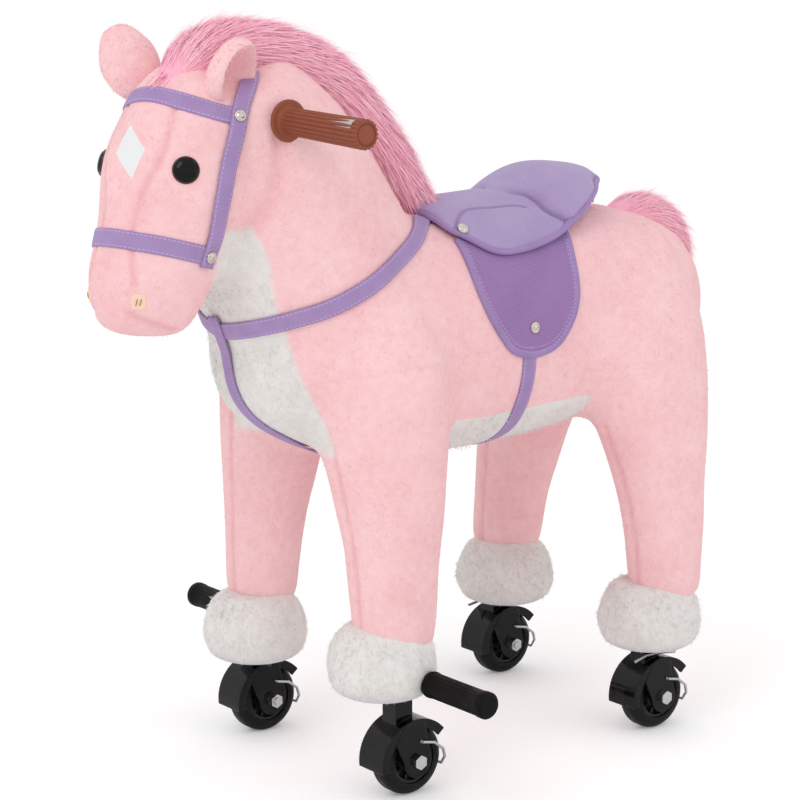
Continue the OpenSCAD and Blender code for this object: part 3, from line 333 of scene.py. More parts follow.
# Plush: short polyester pile. Light sinks between the fibres, so it is matt with a soft sheen at grazing angles.
def plushMaterial(name, light, dark, darkenedColour, sheen):
    # tufts about 9 mm across, fibres drawn at 1.4 mm because real ones are too fine to show
    material, tree, shader = newMaterial(name, {
        "Roughness": 0.95, "Specular IOR Level": 0.1, "Sheen Weight": sheen, "Sheen Roughness": 0.45,
        "Sheen Tint": light})
    place = addNode(tree, "TexCoord").outputs["Object"]
    tufts = addNode(tree, "TexNoise", {"Vector": place, "Scale": 1 / 0.009, "Detail": 3, "Roughness": 0.6})
    patches = addNode(tree, "TexNoise", {"Vector": place, "Scale": 1 / 0.055, "Detail": 2})
    fibres = addNode(tree, "TexNoise", {"Vector": place, "Scale": 1 / 0.0014, "Detail": 2})
    both = addNode(tree, "Math", {0: tufts, 1: patches}, operation="ADD")
    fine = addNode(tree, "Math", {0: fibres, 1: 0.7, 2: both}, operation="MULTIPLY_ADD")
    tone = addNode(tree, "MapRange", {"Value": fine, "From Min": 0.95, "From Max": 1.65})
    colour = addNode(tree, "Mix", {"Factor": tone, "A": dark, "B": light}, data_type="RGBA")
    # painted shade: an attribute darkens the pile in the grooves of the seams, in the jaw crease and in the hollows
    # of the ears; on the hooves the same attribute makes it darker towards the bottom
    darkening = addNode(tree, "Attribute", attribute_name="darkening")
    sewn = addNode(tree, "Mix", {"Factor": darkening.outputs["Fac"], "A": colour, "B": darkenedColour}, data_type="RGBA")
    chestWhite = addNode(tree, "Attribute", attribute_name="white")
    snow = addNode(tree, "Mix", {"Factor": tone, "A": whiteTones[1], "B": whiteTones[0]}, data_type="RGBA")
    coat = addNode(tree, "Mix", {"Factor": chestWhite.outputs["Fac"], "A": sewn, "B": snow}, data_type="RGBA")
    bump = addNode(tree, "Bump", {"Height": fine, "Strength": 0.55, "Distance": 0.0016})
    setInputs(tree, shader, {"Base Color": coat, "Normal": bump})
    return material


whiteTones = ("EDEAE7", "DDD9D6")
pinkPlush = plushMaterial("pinkPlush", "FDD3D5", "F5C0C4", "EBA8AE", 0.25)
whitePlush = plushMaterial("whitePlush", *whiteTones, "D8D3DC", 0.2)


class Skin:
    # a quad skin as arrays, with neighbour means for smoothing
    def __init__(self, mesh):
        self.points = readArray(mesh.vertices, "co", 3)
        self.quads = readArray(mesh.loops, "vertex_index", 1, int).reshape(-1, 4)
        a, b = readArray(mesh.edges, "vertices", 2, int).T
        self.ends, self.others = np.concatenate([a, b]), np.concatenate([b, a])
        self.count = np.bincount(self.ends, minlength=len(self.points))

    def gather(self, ids, values):
        return np.stack([np.bincount(ids, values[:, k], len(self.points)) for k in range(3)], 1)

    def pull(self):
        # from each point towards the mean of its neighbours
        return self.gather(self.ends, self.points[self.others]) / np.maximum(self.count, 1)[:, None] - self.points

    def normals(self):
        p, q = self.points, self.quads
        n = np.cross(p[q[:, 2]] - p[q[:, 0]], p[q[:, 3]] - p[q[:, 1]])
        return unit(self.gather(q.ravel(), np.repeat(n, 4, 0)))

    def relax(self, rounds, strength=0.5):
        for _ in range(rounds):
            self.points = self.points + strength * self.pull()

    def fillHollows(self, rounds, share):
        # only points in a hollow move out, so seams between limbs round off and crowns stay full
        for _ in range(rounds):
            move = self.pull()
            hollow = np.einsum("ij,ij->i", move, self.normals()) > 0
            self.points = self.points + (0.5 * share * hollow)[:, None] * move


def voxelSkin(shells, voxel):
    # joins closed lofts into one quad skin
    mesh = meshFrom("joined", *joined(shells))
    turnOutward(mesh)
    return Skin(throughModifier(mesh, "REMESH", mode="VOXEL", voxel_size=voxel))


def mirroredX(shell):
    points, faces = shell
    return points * otherSide, [face[::-1] for face in faces]


def lumps(points, size, seed):
    # stuffing: a sum of waves of about that length in fixed directions, between -1 and 1
    rng = np.random.default_rng(seed)
    k = unit(rng.normal(size=(9, 3))) * (2 * np.pi / size) * rng.uniform(0.7, 1.4, (9, 1))
    return np.sin(points @ k.T + rng.uniform(0, 2 * np.pi, 9)).mean(1)


def nearPath(points, path, reach):
    # 1 on the path, falling to 0 at reach from it
    box = (points > path.min(0) - reach).all(1) & (points < path.max(0) + reach).all(1)
    near = np.zeros(len(points))
    if box.any():
        d = np.linalg.norm(points[box][:, None] - path[None], axis=2).min(1)
        near[box] = np.clip(1 - d / reach, 0, 1)
    return step(near, 0, 1)


def legField(form, points, side):
    # under 1 inside the leg: squared distance from its middle line over its half sizes
    t = np.linspace(0, 1, 200)
    rows, line = splineRows(form["rows"], t), formLine(form, t)
    at = np.interp(points[:, 2], line[:, 1], t)
    x = side * (form["x"] - form["lean"] * at * at)
    y = np.interp(at, t, line[:, 0])
    w, d = np.interp(at, t, rows[:, 2]) * form["half"][0], np.interp(at, t, rows[:, 3]) * form["half"][1]
    return ((points[:, 0] - x) / w) ** 2 + ((points[:, 1] - y) / d) ** 2


plushBody = {"voxel": 4.5 * mm, "smooth": 10, "hollowRounds": 70, "headCrease": 0.12, "lump": 1.2 * mm,
             "seamDepth": 2.0 * mm, "seamReach": 6 * mm, "jawDepth": 6.5 * mm, "jawReach": 13 * mm,
             "headAbove": 0.52, "headBefore": -0.19, "lumpSize": 0.06, "seamShade": 0.6, "jawShade": 0.4}
# stuffing sits unevenly: the chest is drawn in, the rump pushed out, and the left legs are fuller
plushTorso = dict(horse["torso"], rows=[[.030, .050, .81, .88], [.208, .020, .98, .97], [.4, 0, .97, 1],
                                        [.6, .010, .96, .98], [.8, .035, 1.02, .94], [1.012, .045, .96, .87]])
rearForms = {1: dict(horse["rearLeg"], foot=(0.2335, 0.1400), x=0.125,
                     rows=[[0, 0, .97, .97], [-.01, .18, 1.01, 1.03], [-.02, .36, 1.15, 1.28],
                           [-.06, .56, 1.40, 1.72], [-.18, .80, 1.50, 2], [-.30, 1.04, .90, 1.50]]),
             -1: dict(horse["rearLeg"],
                      rows=[[-.02, 0, .97, .97], [.03, .18, 1.02, 1.04], [.13, .36, 1.14, 1.30],
                            [.13, .56, 1.40, 1.75], [-.08, .80, 1.50, 2], [-.30, 1.04, .90, 1.50]])}
frontForms = {1: dict(horse["frontLeg"], foot=(-0.1125, 0.1400), half=(0.0455, 0.0450)),
              -1: dict(horse["frontLeg"], half=(0.0415, 0.0415))}
headPoints, headFaces = loft(horse["head"], 40, 48, headPlace)
trunk = [loft(plushTorso, 48, 64), loft(horse["neck"], 36, 48), (turned(headPoints), headFaces),
         loft(rearForms[1], 30, 40), mirroredX(loft(rearForms[-1], 30, 40))]


def torsoField(points, form=plushTorso):
    # under 1 inside the torso, by the power of its squared sections
    t = np.clip((points[:, 1] - form["foot"][0]) / form["reach"][0], 0, 1)
    rows, line = splineRows(form["rows"], t), formLine(form, t)
    close = np.maximum(1e-6, 1 - np.abs(2 * t - 1) ** form["round"]) ** (1 / form["round"])
    w, d = rows[:, 2] * close * form["half"][0], rows[:, 3] * close * form["half"][1]
    power = 2 / form["corner"]
    return np.abs(points[:, 0] / w) ** power + np.abs((points[:, 2] - line[:, 1]) / d) ** power


def finishSkin(skin):
    # rounds the joints between limbs, then adds the lumps of the stuffing
    skin.relax(plushBody["smooth"])
    p = skin.points
    isHead = (p[:, 2] > plushBody["headAbove"]) & (p[:, 1] < plushBody["headBefore"])
    skin.fillHollows(plushBody["hollowRounds"], np.where(isHead, plushBody["headCrease"], 1.0))
    skin.relax(3)
    stuffing = lumps(skin.points, plushBody["lumpSize"], 5)
    skin.points = skin.points + plushBody["lump"] * stuffing[:, None] * skin.normals()
    return skin


bodySkin = finishSkin(voxelSkin(trunk, plushBody["voxel"]))
frontLegs = [loft(frontForms[1], 30, 40), mirroredX(loft(frontForms[-1], 30, 40))]
wholeSkin = finishSkin(voxelSkin(trunk + frontLegs, plushBody["voxel"]))
print("plush skin:", len(bodySkin.quads), "quads")


wholeMesh = meshFrom("wholeTarget", wholeSkin.points, wholeSkin.quads)
wholeTarget = newPiece("wholeTarget", wholeMesh, pinkPlush, outward=False)


# Laying pieces on the skin
def wrapOnto(points, target, off=0.0):
    # nearest places on a piece, raised by off along its normal
    laid = throughModifier(meshFrom("wrapped", points.reshape(-1, 3), []), "SHRINKWRAP", target=target, offset=off,
                           wrap_method="NEAREST_SURFACEPOINT", wrap_mode="ABOVE_SURFACE")
    places = readArray(laid.vertices, "co", 3).reshape(points.shape)
    bpy.data.meshes.remove(laid)
    return places


def seatOn(points, target=wholeTarget):
    # places on the skin under the points, and the directions out of it
    base = wrapOnto(points, target)
    return base, unit(wrapOnto(points, target, 0.01) - base)


def sewSeams(points, normals, paths):
    # presses a groove along each path and returns its strength for the shade
    darkening = np.zeros(len(points))
    for line in paths:
        darkening = np.maximum(darkening, nearPath(points, line, plushBody["seamReach"]))
    return points - normals * (plushBody["seamDepth"] * darkening)[:, None], darkening


def floatAttribute(mesh, name, values):
    mesh.attributes.new(name, "FLOAT", "POINT").data.foreach_set("value", values.astype(np.float32))


def legSeam(form, side, t0, t1):
    # down the front of a leg
    p = formPoint(form, np.linspace(t0, t1, 120), -90.0)
    back = formPoint(form, np.linspace(t0, t1, 120), 90.0)
    p = np.where((p[:, 1] < back[:, 1])[:, None], p, back)
    return onSide(p, side)


# edge of the white chest on the left side, mirrored on the right; its middle line is used for the sewn panel
chest = {"thick": 0.6 * mm, "soft": 4 * mm, "ragged": 2 * mm, "top": 0.552, "foot": (0.330, 0.338),
         "front": (-0.272, -0.266), "behind": -0.09,
         "edge": [(.062, -.236, .552), (.068, -.229, .537), (.070, -.224, .522), (.068, -.219, .500),
                  (.066, -.212, .476), (.066, -.203, .451), (.068, -.194, .425), (.072, -.186, .403),
                  (.079, -.176, .379), (.086, -.168, .359), (.078, -.158, .344), (.060, -.138, .330),
                  (.046, -.110, .318)],
         "middle": [(-.262, .552), (-.252, .537), (-.247, .522), (-.240, .500), (-.234, .476), (-.229, .451),
                    (-.218, .425), (-.210, .403), (-.200, .378), (-.188, .358), (-.175, .343), (-.150, .325),
                    (-.112, .311)]}


def chestShare(points):
    # 1 inside the white chest; the edge is crossed along (0.6, 0.8) in plan
    edge = splineRows(chest["edge"], np.linspace(0, 1, 80))[::-1]
    x, y = (np.interp(points[:, 2], edge[:, 2], edge[:, k]) for k in (0, 1))
    inside = -(0.6 * (np.abs(points[:, 0]) - x) + 0.8 * (points[:, 1] - y))
    inside = np.minimum(inside, chest["top"] - points[:, 2]) + chest["ragged"] * lumps(points, 0.012, 9)
    onChest = step(points[:, 2], *chest["foot"]) * step(points[:, 1], *chest["front"])
    return step(inside, -chest["soft"], chest["soft"]) * ((points[:, 1] < chest["behind"]) * onChest)


along = np.linspace(0, 1, 120)
gussetLine = splineRows([(.034, -.299, .663), (.045, -.318, .628), (.040, -.332, .601), (.035, -.340, .580),
                         (.036, -.348, .553), (.040, -.351, .536), (.046, -.354, .510)], along)
gusset = [gussetLine, acrossHead(gussetLine)]  # each side of the forehead
mouth = [turned(headPlace(horse["head"], 0.88 + 0.07 * along, -90 + s * (30 + 70 * along))) for s in (1, -1)]
bodySeams = gusset + mouth + [legSeam(rearForms[s], s, 0.02, 0.55) for s in (1, -1)]
# above the legs the body takes the joined skin, so the shoulders run into the legs; a leg's skin is cut from the
# joined one by the two fields and a top, dives under the body by "dive" at its edge and closes on the point "inside"
shoulder = {"joins": (0.375, 0.415), "before": 0.05, "legField": 1.9, "torsoField": 0.985, "top": 0.52,
            "dive": 0.003, "diveField": 1.10, "diveOver": 0.115, "diveHeights": (0.392, 0.43),
            "inside": (0.05, -0.10, 0.43)}
share = step(bodySkin.points[:, 2:], *shoulder["joins"]) * (bodySkin.points[:, 1:2] < shoulder["before"])
bodySkin.points = bodySkin.points + share * (wrapOnto(bodySkin.points, wholeTarget) - bodySkin.points)
normals = bodySkin.normals()
bodySkin.points, darkening = sewSeams(bodySkin.points, normals, bodySeams)
# the jaw stands a little off the neck: a crease is pressed along it, with painted shade in it
jaw = splineRows([(.075, -.2135, .6328), (.0772, -.2129, .622), (.0781, -.2148, .6104),
                  (.0782, -.2172, .5988), (.077, -.2209, .588), (.0743, -.2259, .5772),
                  (.0705, -.2311, .5672), (.0661, -.2359, .558), (.0614, -.2405, .5496)], along)
for line in (jaw, acrossHead(jaw)):
    near = nearPath(bodySkin.points, line, plushBody["jawReach"])
    bodySkin.points = bodySkin.points - normals * (plushBody["jawDepth"] * near)[:, None]
    darkening = np.maximum(darkening, plushBody["jawShade"] * near)
bodyMesh = meshFrom("plushBody", bodySkin.points, bodySkin.quads)
# painted shade in the grooves of the seams and in the jaw crease
floatAttribute(bodyMesh, "darkening", plushBody["seamShade"] * darkening)
floatAttribute(bodyMesh, "white", chestShare(bodySkin.points))
bodyPiece = newPiece("plushBody", bodyMesh, pinkPlush, "body",
                     ["torso", "neck", "head", "rear_left_leg", "rear_right_leg"], outward=False)


# Front legs: cut from the skin that joins them to the torso, so they run into the shoulder
def frontLegSkin(side):
    p, q = wholeSkin.points, wholeSkin.quads
    field = torsoField(p)
    leg = (legField(frontForms[side], p, side) < shoulder["legField"]) & (p[:, 2] < shoulder["top"])
    keep = (leg & (field > shoulder["torsoField"]))[q].all(1)
    used, index = np.unique(q[keep], return_inverse=True)
    n = wholeSkin.normals()[used]
    dive = step((shoulder["diveField"] - field[used]) / shoulder["diveOver"], 0, 1)
    dive = np.maximum(dive, step(p[used, 2], *shoulder["diveHeights"]))
    return p[used] - n * (shoulder["dive"] * dive)[:, None], index.reshape(-1, 4), n


sides = {1: "Left", -1: "Right"}
for side, word in sides.items():
    points, quads, normals = frontLegSkin(side)
    points, darkening = sewSeams(points, normals, [legSeam(frontForms[side], side, 0.02, 0.6)])
    # the open edge is closed by a fan to a point inside the torso
    edges = np.concatenate([quads[:, [k, (k + 1) % 4]] for k in range(4)])
    code, back = edges[:, 0] * len(points) + edges[:, 1], edges[:, 1] * len(points) + edges[:, 0]
    rim = edges[~np.isin(code, back)]
    fan = np.stack([rim[:, 1], rim[:, 0], np.full(len(rim), len(points))], 1)
    points = np.concatenate([points, onSide([shoulder["inside"]], side)])
    mesh = meshFrom("frontLeg", points, quads.tolist() + fan.tolist())
    # painted shade in the groove of the leg seam
    floatAttribute(mesh, "darkening", np.append(plushBody["seamShade"] * darkening, 0))
    floatAttribute(mesh, "white", chestShare(points))
    piece = newPiece("front" + word + "Leg", mesh, pinkPlush, None, [f"front_{word.lower()}_leg"])
    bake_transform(piece)
print("plush done")


# Sewing helpers
def smoothRows(values, rounds):
    # each row moves to the mean of itself and its neighbours along the first axis
    for _ in range(rounds):
        values = np.concatenate([values[:1], (values[:-2] + 2 * values[1:-1] + values[2:]) / 4, values[-1:]])
    return values


def runAlong(path):
    return np.concatenate([[0], np.cumsum(np.linalg.norm(np.diff(path, axis=0), axis=1))])


def evenPath(places, spacing):
    # a spline through the places, cut into even steps
    fine = splineRows(np.asarray(places, float), np.linspace(0, 1, 40 * len(places)))
    run = runAlong(fine)
    steps = np.linspace(0, run[-1], max(8, int(run[-1] / spacing)))
    return np.stack([np.interp(steps, run, fine[:, k]) for k in range(3)], 1)


def putUV(mesh, uv):
    corners = readArray(mesh.loops, "vertex_index", 1, int)[:, 0]
    mesh.uv_layers.new(name="flat").data.foreach_set("uv", uv[corners].astype(np.float32).ravel())


def ringMesh(name, rings, acrossUV):
    # closed tube through rows of points; u is metres along, v is given round the section
    n, k = rings.shape[:2]
    mesh = meshFrom(name, rings.reshape(-1, 3), tubeFaces(n, k))
    putUV(mesh, np.stack([np.repeat(runAlong(rings.mean(1)), k), np.tile(acrossUV, n)], 1))
    return mesh


def strapMesh(name, places, strap, lift=0.0, target=wholeTarget):
    # a flat strap carried along a path on the skin: thick * (1 - 0.35 v^6) over a flat underside
    path, up = seatOn(evenPath(places, strap["step"]), target)
    path, up = smoothRows(path, 6), unit(smoothRows(up, 12))
    across = unit(np.cross(up, np.gradient(path, axis=0)))
    v = np.linspace(-1, 1, 11)
    seat, out = seatOn(path[:, None] + across[:, None] * (v * strap["width"] / 2)[None, :, None], target)
    seat, out = smoothRows(seat, 5), unit(smoothRows(out, 8))
    lifts = np.atleast_1d(lift)
    lift = np.interp(np.linspace(0, 1, len(path)), np.linspace(0, 1, len(lifts)), lifts)
    over = seat + out * (lift[:, None] + strap["thick"] * (1 - 0.35 * np.abs(v) ** 6))[..., None]
    under = seat + out * (lift[:, None] - 0.0003 + 0 * v)[..., None]
    edges = (v + 1) / 2
    return ringMesh(name, np.concatenate([over, under[:, ::-1]], 1), np.concatenate([edges, edges[::-1]])), over[:, 5]


def tapeMesh(name, path, up, tape):
    # edge binding: a flattened round of half sizes (wide, high), |cos|^0.7 by |sin|^0.7, carried along the edge
    across = unit(np.cross(up, np.gradient(path, axis=0)))
    a = roundSteps(14)
    w = tape["wide"] * np.sign(np.cos(a)) * np.abs(np.cos(a)) ** 0.7
    h = tape["high"] * np.sign(np.sin(a)) * np.abs(np.sin(a)) ** 0.7
    rings = path[:, None] + across[:, None] * w[None, :, None] + up[:, None] * h[None, :, None]
    return ringMesh(name, rings, a / (2 * np.pi))


def closedPad(under, over):
    # closed pad between two grids of points
    m, n = under.shape[:2]
    rim = np.concatenate([np.arange(n), np.arange(2 * n - 1, m * n, n), np.arange(m * n - 2, (m - 1) * n - 1, -1),
                          np.arange((m - 2) * n, 0, -n)])
    nextRim = np.roll(rim, -1)
    faces = np.concatenate([gridFaces(m, n)[:, ::-1], gridFaces(m, n, m * n),
                            np.stack([rim, nextRim, nextRim + m * n, rim + m * n], 1)])
    return np.concatenate([under.reshape(-1, 3), over.reshape(-1, 3)]), faces


def gridArea(grid):
    d1, d2 = grid[1:, 1:] - grid[:-1, :-1], grid[1:, :-1] - grid[:-1, 1:]
    return float(np.linalg.norm(np.cross(d1, d2), axis=2).sum() / 2)


def patchMesh(name, grid, thick, target=wholeTarget):
    # cloth lying on the skin, tucked down along its edges: thick * (1 - e^4), e = max(|row|, |column|)
    seat, out = seatOn(grid, target)
    m, n = seat.shape[:2]
    e = np.maximum(np.abs(np.linspace(-1, 1, m))[:, None], np.abs(np.linspace(-1, 1, n))[None])
    points, faces = closedPad(seat - out * 0.0008, seat + out * (thick * (1 - e ** 4) - 0.0001)[..., None])
    return meshFrom(name, points, faces), gridArea(seat)


def revolvedAt(profile, sides, place, axis):
    # profile rows are (radius, height); the height runs along axis from place
    axis = unit(np.asarray(axis, float))
    side = unit(np.cross(axis, [0.13, 0.21, 0.97] if abs(axis[2]) < 0.9 else [1, 0, 0]))
    a = roundSteps(sides)
    ring = np.cos(a)[:, None] * side + np.sin(a)[:, None] * np.cross(axis, side)
    profile = np.asarray(profile, float)
    return np.asarray(place) + profile[:, None, :1] * ring[None] + profile[:, None, 1:] * axis


def fibres(roots, up, lean, curve, length, width, rings):
    # tapered three-sided hairs with a low ridge towards up: root + length (lean s + curve s^2), width (1 - s^2)
    n = len(roots)
    s = (np.arange(rings) / rings)[None, :, None]
    centre = roots[:, None] + length[:, None, None] * (lean[:, None] * s + curve[:, None] * s * s)
    ahead = unit(lean[:, None] + 2 * curve[:, None] * s)
    a = unit(np.cross(up[:, None], ahead))
    b = 0.22 * np.cross(ahead, a)
    turn = np.pi / 2 + 2 * np.pi * np.arange(3) / 3
    around = np.cos(turn)[:, None] * a[:, :, None] + np.sin(turn)[:, None] * b[:, :, None]
    ring = centre[:, :, None] + width[:, None, None, None] * (1 - s * s)[..., None] * around
    tip = roots + length[:, None] * (lean + curve)
    points = np.concatenate([ring.reshape(n, -1, 3), tip[:, None]], 1)
    r, k = np.meshgrid(np.arange(rings - 1), np.arange(3), indexing="ij")
    p, q = r * 3 + k, r * 3 + (k + 1) % 3
    top = (rings - 1) * 3
    ends = [[top, top + 1, top + 3], [top + 1, top + 2, top + 3], [top + 2, top, top + 3], [2, 1, 0]]
    sides = [np.stack(ids, -1).reshape(-1, 3) for ids in ((p, q, q + 3), (p, q + 3, p + 3))]
    shape = np.concatenate(sides + [ends])
    each = rings * 3 + 1
    faces = (shape[None] + each * np.arange(n)[:, None, None]).reshape(-1, 3)
    along = np.tile(np.append(np.repeat(np.arange(rings) / rings, 3), 1.0), n)
    return points.reshape(-1, 3), faces, along


# Other finishes
sewing = {"pitch": 0.0042, "thread": 0.6}  # metres from stitch to stitch, and the share that is thread


def stitchDashes(tree, run):
    # 1 on the thread, 0 in the gaps; run is metres along the row
    dash = addNode(tree, "Math", {0: run, 1: 1 / sewing["pitch"]}, operation="MULTIPLY")
    dash = addNode(tree, "Math", {0: dash}, operation="FRACT")
    return addNode(tree, "Math", {0: dash, 1: sewing["thread"]}, operation="LESS_THAN")


def webbingMaterial(name, light, dark, thread, slant):
    # woven polyester tape: fine ribs that slant by that many radians across it, and a paler thread along both edges;
    # ribs drawn at 2.2 mm because real ones are too fine to show
    material, tree, shader = newMaterial(name, {"Roughness": 0.72, "Specular IOR Level": 0.25, "Sheen Weight": 0.15,
                                                "Sheen Roughness": 0.4})
    coords = addNode(tree, "TexCoord").outputs
    uv = addNode(tree, "SeparateXYZ", {0: coords["UV"]}).outputs
    turn = addNode(tree, "Math", {0: uv["Y"], 1: slant}, operation="MULTIPLY")
    phase = addNode(tree, "Math", {0: uv["X"], 1: 2 * np.pi / 0.0022, 2: turn}, operation="MULTIPLY_ADD")
    rib = addNode(tree, "Math", {0: phase}, operation="SINE")
    wear = addNode(tree, "TexNoise", {"Vector": coords["Object"], "Scale": 1 / 0.02, "Detail": 3})
    tone = addNode(tree, "Math", {0: rib, 1: 0.16, 2: wear}, operation="MULTIPLY_ADD")
    colour = addNode(tree, "Mix", {"Factor": tone, "A": dark, "B": light}, data_type="RGBA")
    off = addNode(tree, "Math", {0: uv["Y"], 1: 0.5}, operation="SUBTRACT")
    off = addNode(tree, "Math", {0: off}, operation="ABSOLUTE")
    row = addNode(tree, "Math", {0: off, 1: 0.385, 2: 0.028}, operation="COMPARE")
    stitch = addNode(tree, "Math", {0: row, 1: stitchDashes(tree, uv["X"])}, operation="MULTIPLY")
    sewn = addNode(tree, "Mix", {"Factor": stitch, "A": colour, "B": thread}, data_type="RGBA")
    height = addNode(tree, "Math", {0: rib, 1: 0.3, 2: stitch}, operation="MULTIPLY_ADD")
    bump = addNode(tree, "Bump", {"Height": height, "Strength": 0.5, "Distance": 0.0005})
    setInputs(tree, shader, {"Base Color": sewn, "Normal": bump})
    return material


def clothMaterial(name, light, dark, lines, thread, shadeColour="8A70A4"):
    # saddle cloth: a matt twill with slanted lines, in metres apart, worn a little paler in patches;
    # "rim" is metres from the edge and "run" metres along it, for the row of stitches inside the binding;
    # the shade attribute is 1 down in a sewn line or fold, where painted shade darkens the cloth
    material, tree, shader = newMaterial(name, {"Roughness": 0.82, "Specular IOR Level": 0.2, "Sheen Weight": 0.2,
                                                "Sheen Roughness": 0.5})
    place = addNode(tree, "TexCoord").outputs["Object"]
    grain = addNode(tree, "TexNoise", {"Vector": place, "Scale": 1 / 0.0012, "Detail": 2})
    patches = addNode(tree, "TexNoise", {"Vector": place, "Scale": 1 / 0.045, "Detail": 2})
    twill = addNode(tree, "TexWave", {
        "Vector": addNode(tree, "Mapping", {"Vector": place, "Rotation": (np.radians(-72), 0, 0)}),
        "Scale": 0.314 / lines, "Distortion": 0.6, "Detail": 1, "Detail Scale": 1.5}, bands_direction="Y")
    mixed = addNode(tree, "Math", {0: twill.outputs["Fac"], 1: 0.35, 2: grain}, operation="MULTIPLY_ADD")
    tone = addNode(tree, "Math", {0: patches, 1: 0.8, 2: mixed}, operation="MULTIPLY_ADD")
    share = addNode(tree, "MapRange", {"Value": tone, "From Min": 0.65, "From Max": 1.55})
    colour = addNode(tree, "Mix", {"Factor": share, "A": dark, "B": light}, data_type="RGBA")
    rim = addNode(tree, "Attribute", attribute_name="rim")
    row = addNode(tree, "Math", {0: rim.outputs["Fac"], 1: 0.0072, 2: 0.0006}, operation="COMPARE")
    run = addNode(tree, "Attribute", attribute_name="run")
    stitch = addNode(tree, "Math", {0: row, 1: stitchDashes(tree, run.outputs["Fac"])}, operation="MULTIPLY")
    sewn = addNode(tree, "Mix", {"Factor": stitch, "A": colour, "B": thread}, data_type="RGBA")
    darkening = addNode(tree, "Attribute", attribute_name="darkening")
    shaded = addNode(tree, "Mix", {"Factor": darkening.outputs["Fac"], "A": sewn, "B": shadeColour}, data_type="RGBA")
    bump = addNode(tree, "Bump", {"Height": mixed, "Strength": 0.35, "Distance": 0.0005})
    setInputs(tree, shader, {"Base Color": shaded, "Normal": bump})
    return material


def hardMaterial(name, light, dark, grit, rough, constants, edge=0.0):
    # moulded plastic, rubber or metal: two tones and a roughness that drift over grit metres; edge rounds the corners
    material, tree, shader = newMaterial(name, constants)
    place = addNode(tree, "TexCoord").outputs["Object"]
    drift = addNode(tree, "TexNoise", {"Vector": place, "Scale": 1 / grit, "Detail": 4})
    colour = addNode(tree, "Mix", {"Factor": drift, "A": dark, "B": light}, data_type="RGBA")
    gloss = addNode(tree, "MapRange", {"Value": drift, "From Min": 0.3, "From Max": 0.7,
                                       "To Min": rough[0], "To Max": rough[1]})
    bump = addNode(tree, "Bump", {"Height": drift, "Strength": 0.08, "Distance": grit * 0.2})
    if edge:
        corner = addNode(tree, "Bevel", {"Radius": edge}, samples=6)
        setInputs(tree, bump, {"Normal": corner})
    setInputs(tree, shader, {"Base Color": colour, "Roughness": gloss, "Normal": bump})
    return material


strapWebbing = webbingMaterial("polyesterWebbing", "AF94C4", "9A7FB0", "C2ACD4", 15.3)
bindingTape = webbingMaterial("bindingTape", "AA90C0", "9378AC", "BFA9D2", 6.0)
seatCloth = clothMaterial("suedeSeatCloth", "B6A3CA", "A08CB8", 0.0022, "CDB9E0")
flapCloth = clothMaterial("twillFlapCloth", "A27EB2", "8E6CA4", 0.0028, "B094C4")
whiteFelt = clothMaterial("whiteFelt", "F1F2F1", "E4E6E5", 0.0008, "F1F2F1")
peachFelt = clothMaterial("peachFelt", "FBDCC4", "F4CDB4", 0.0008, "FBDCC4")
brownThread = hardMaterial("brownThread", "C08A62", "AC7650", 0.002, (0.6, 0.8), {"Specular IOR Level": 0.2})
eyePlastic = hardMaterial("eyeAcrylic", "080505", "040303", 0.02, (0.05, 0.09), {"Specular IOR Level": 0.22})
eyeRim = hardMaterial("eyeRimAcrylic", "3A1A14", "2A110D", 0.01, (0.12, 0.2), {"Specular IOR Level": 0.5})
nickel = hardMaterial("nickelPlate", "D9D4CA", "BDB6AA", 0.004, (0.14, 0.28), {"Metallic": 1.0})
gripPlastic = hardMaterial("brownGripVinyl", "964F34", "824029", 0.012, (0.52, 0.62), {"Specular IOR Level": 0.4})
pegPlastic = hardMaterial("blackPegPlastic", "0B0908", "060505", 0.01, (0.42, 0.55), {"Specular IOR Level": 0.12})
forkPlastic = hardMaterial("glossBlackAbs", "070708", "030304", 0.03, (0.07, 0.13), {"Specular IOR Level": 0.24},
                           0.0018)
hubPlastic = hardMaterial("blackHubNylon", "1E1E20", "121214", 0.01, (0.25, 0.4),
                          {"Specular IOR Level": 0.35}, 0.0008)
tyreRubber = hardMaterial("tyreRubber", "1A1A1B", "101011", 0.006, (0.35, 0.5),
                          {"Specular IOR Level": 0.16}, 0.0012)
zincSteel = hardMaterial("zincPlatedSteel", "D3D6D8", "B3B7BA", 0.006, (0.2, 0.34), {"Metallic": 1.0}, 0.0005)
wireSteel = hardMaterial("greyWireSteel", "C4C6C8", "A6A9AB", 0.004, (0.25, 0.4), {"Metallic": 1.0})
frameSteel = hardMaterial("blackPaintedSteel", "2C2D30", "202124", 0.02, (0.4, 0.55), {"Specular IOR Level": 0.4},
                          0.0006)
brightSteel = hardMaterial("brightDrawnSteel", "CACCCE", "A9ACAF", 0.006, (0.2, 0.35), {"Metallic": 1.0})

corners = ["front_left", "front_right", "rear_left", "rear_right"]
finishes = {forkPlastic: [c + "_fork" for c in corners], hubPlastic: [c + "_hub" for c in corners],
            tyreRubber: [c + "_tyre" for c in corners],
            wireSteel: [c + "_bail" for c in corners] + ["rear_stem_clips"],
            zincSteel: ["front_axle_bolts", "rear_axle_bolts", "front_axle_nuts", "rear_axle_nuts"],
            frameSteel: ["main_frame", "front_leg_tubes"],
            brightSteel: ["shoulder_axle", "return_springs", "handlebar_tube"]}
for material, names in finishes.items():
    for name in names:
        nodes[name].data.materials.clear()
        nodes[name].data.materials.append(material)
print("finishes on the solids")


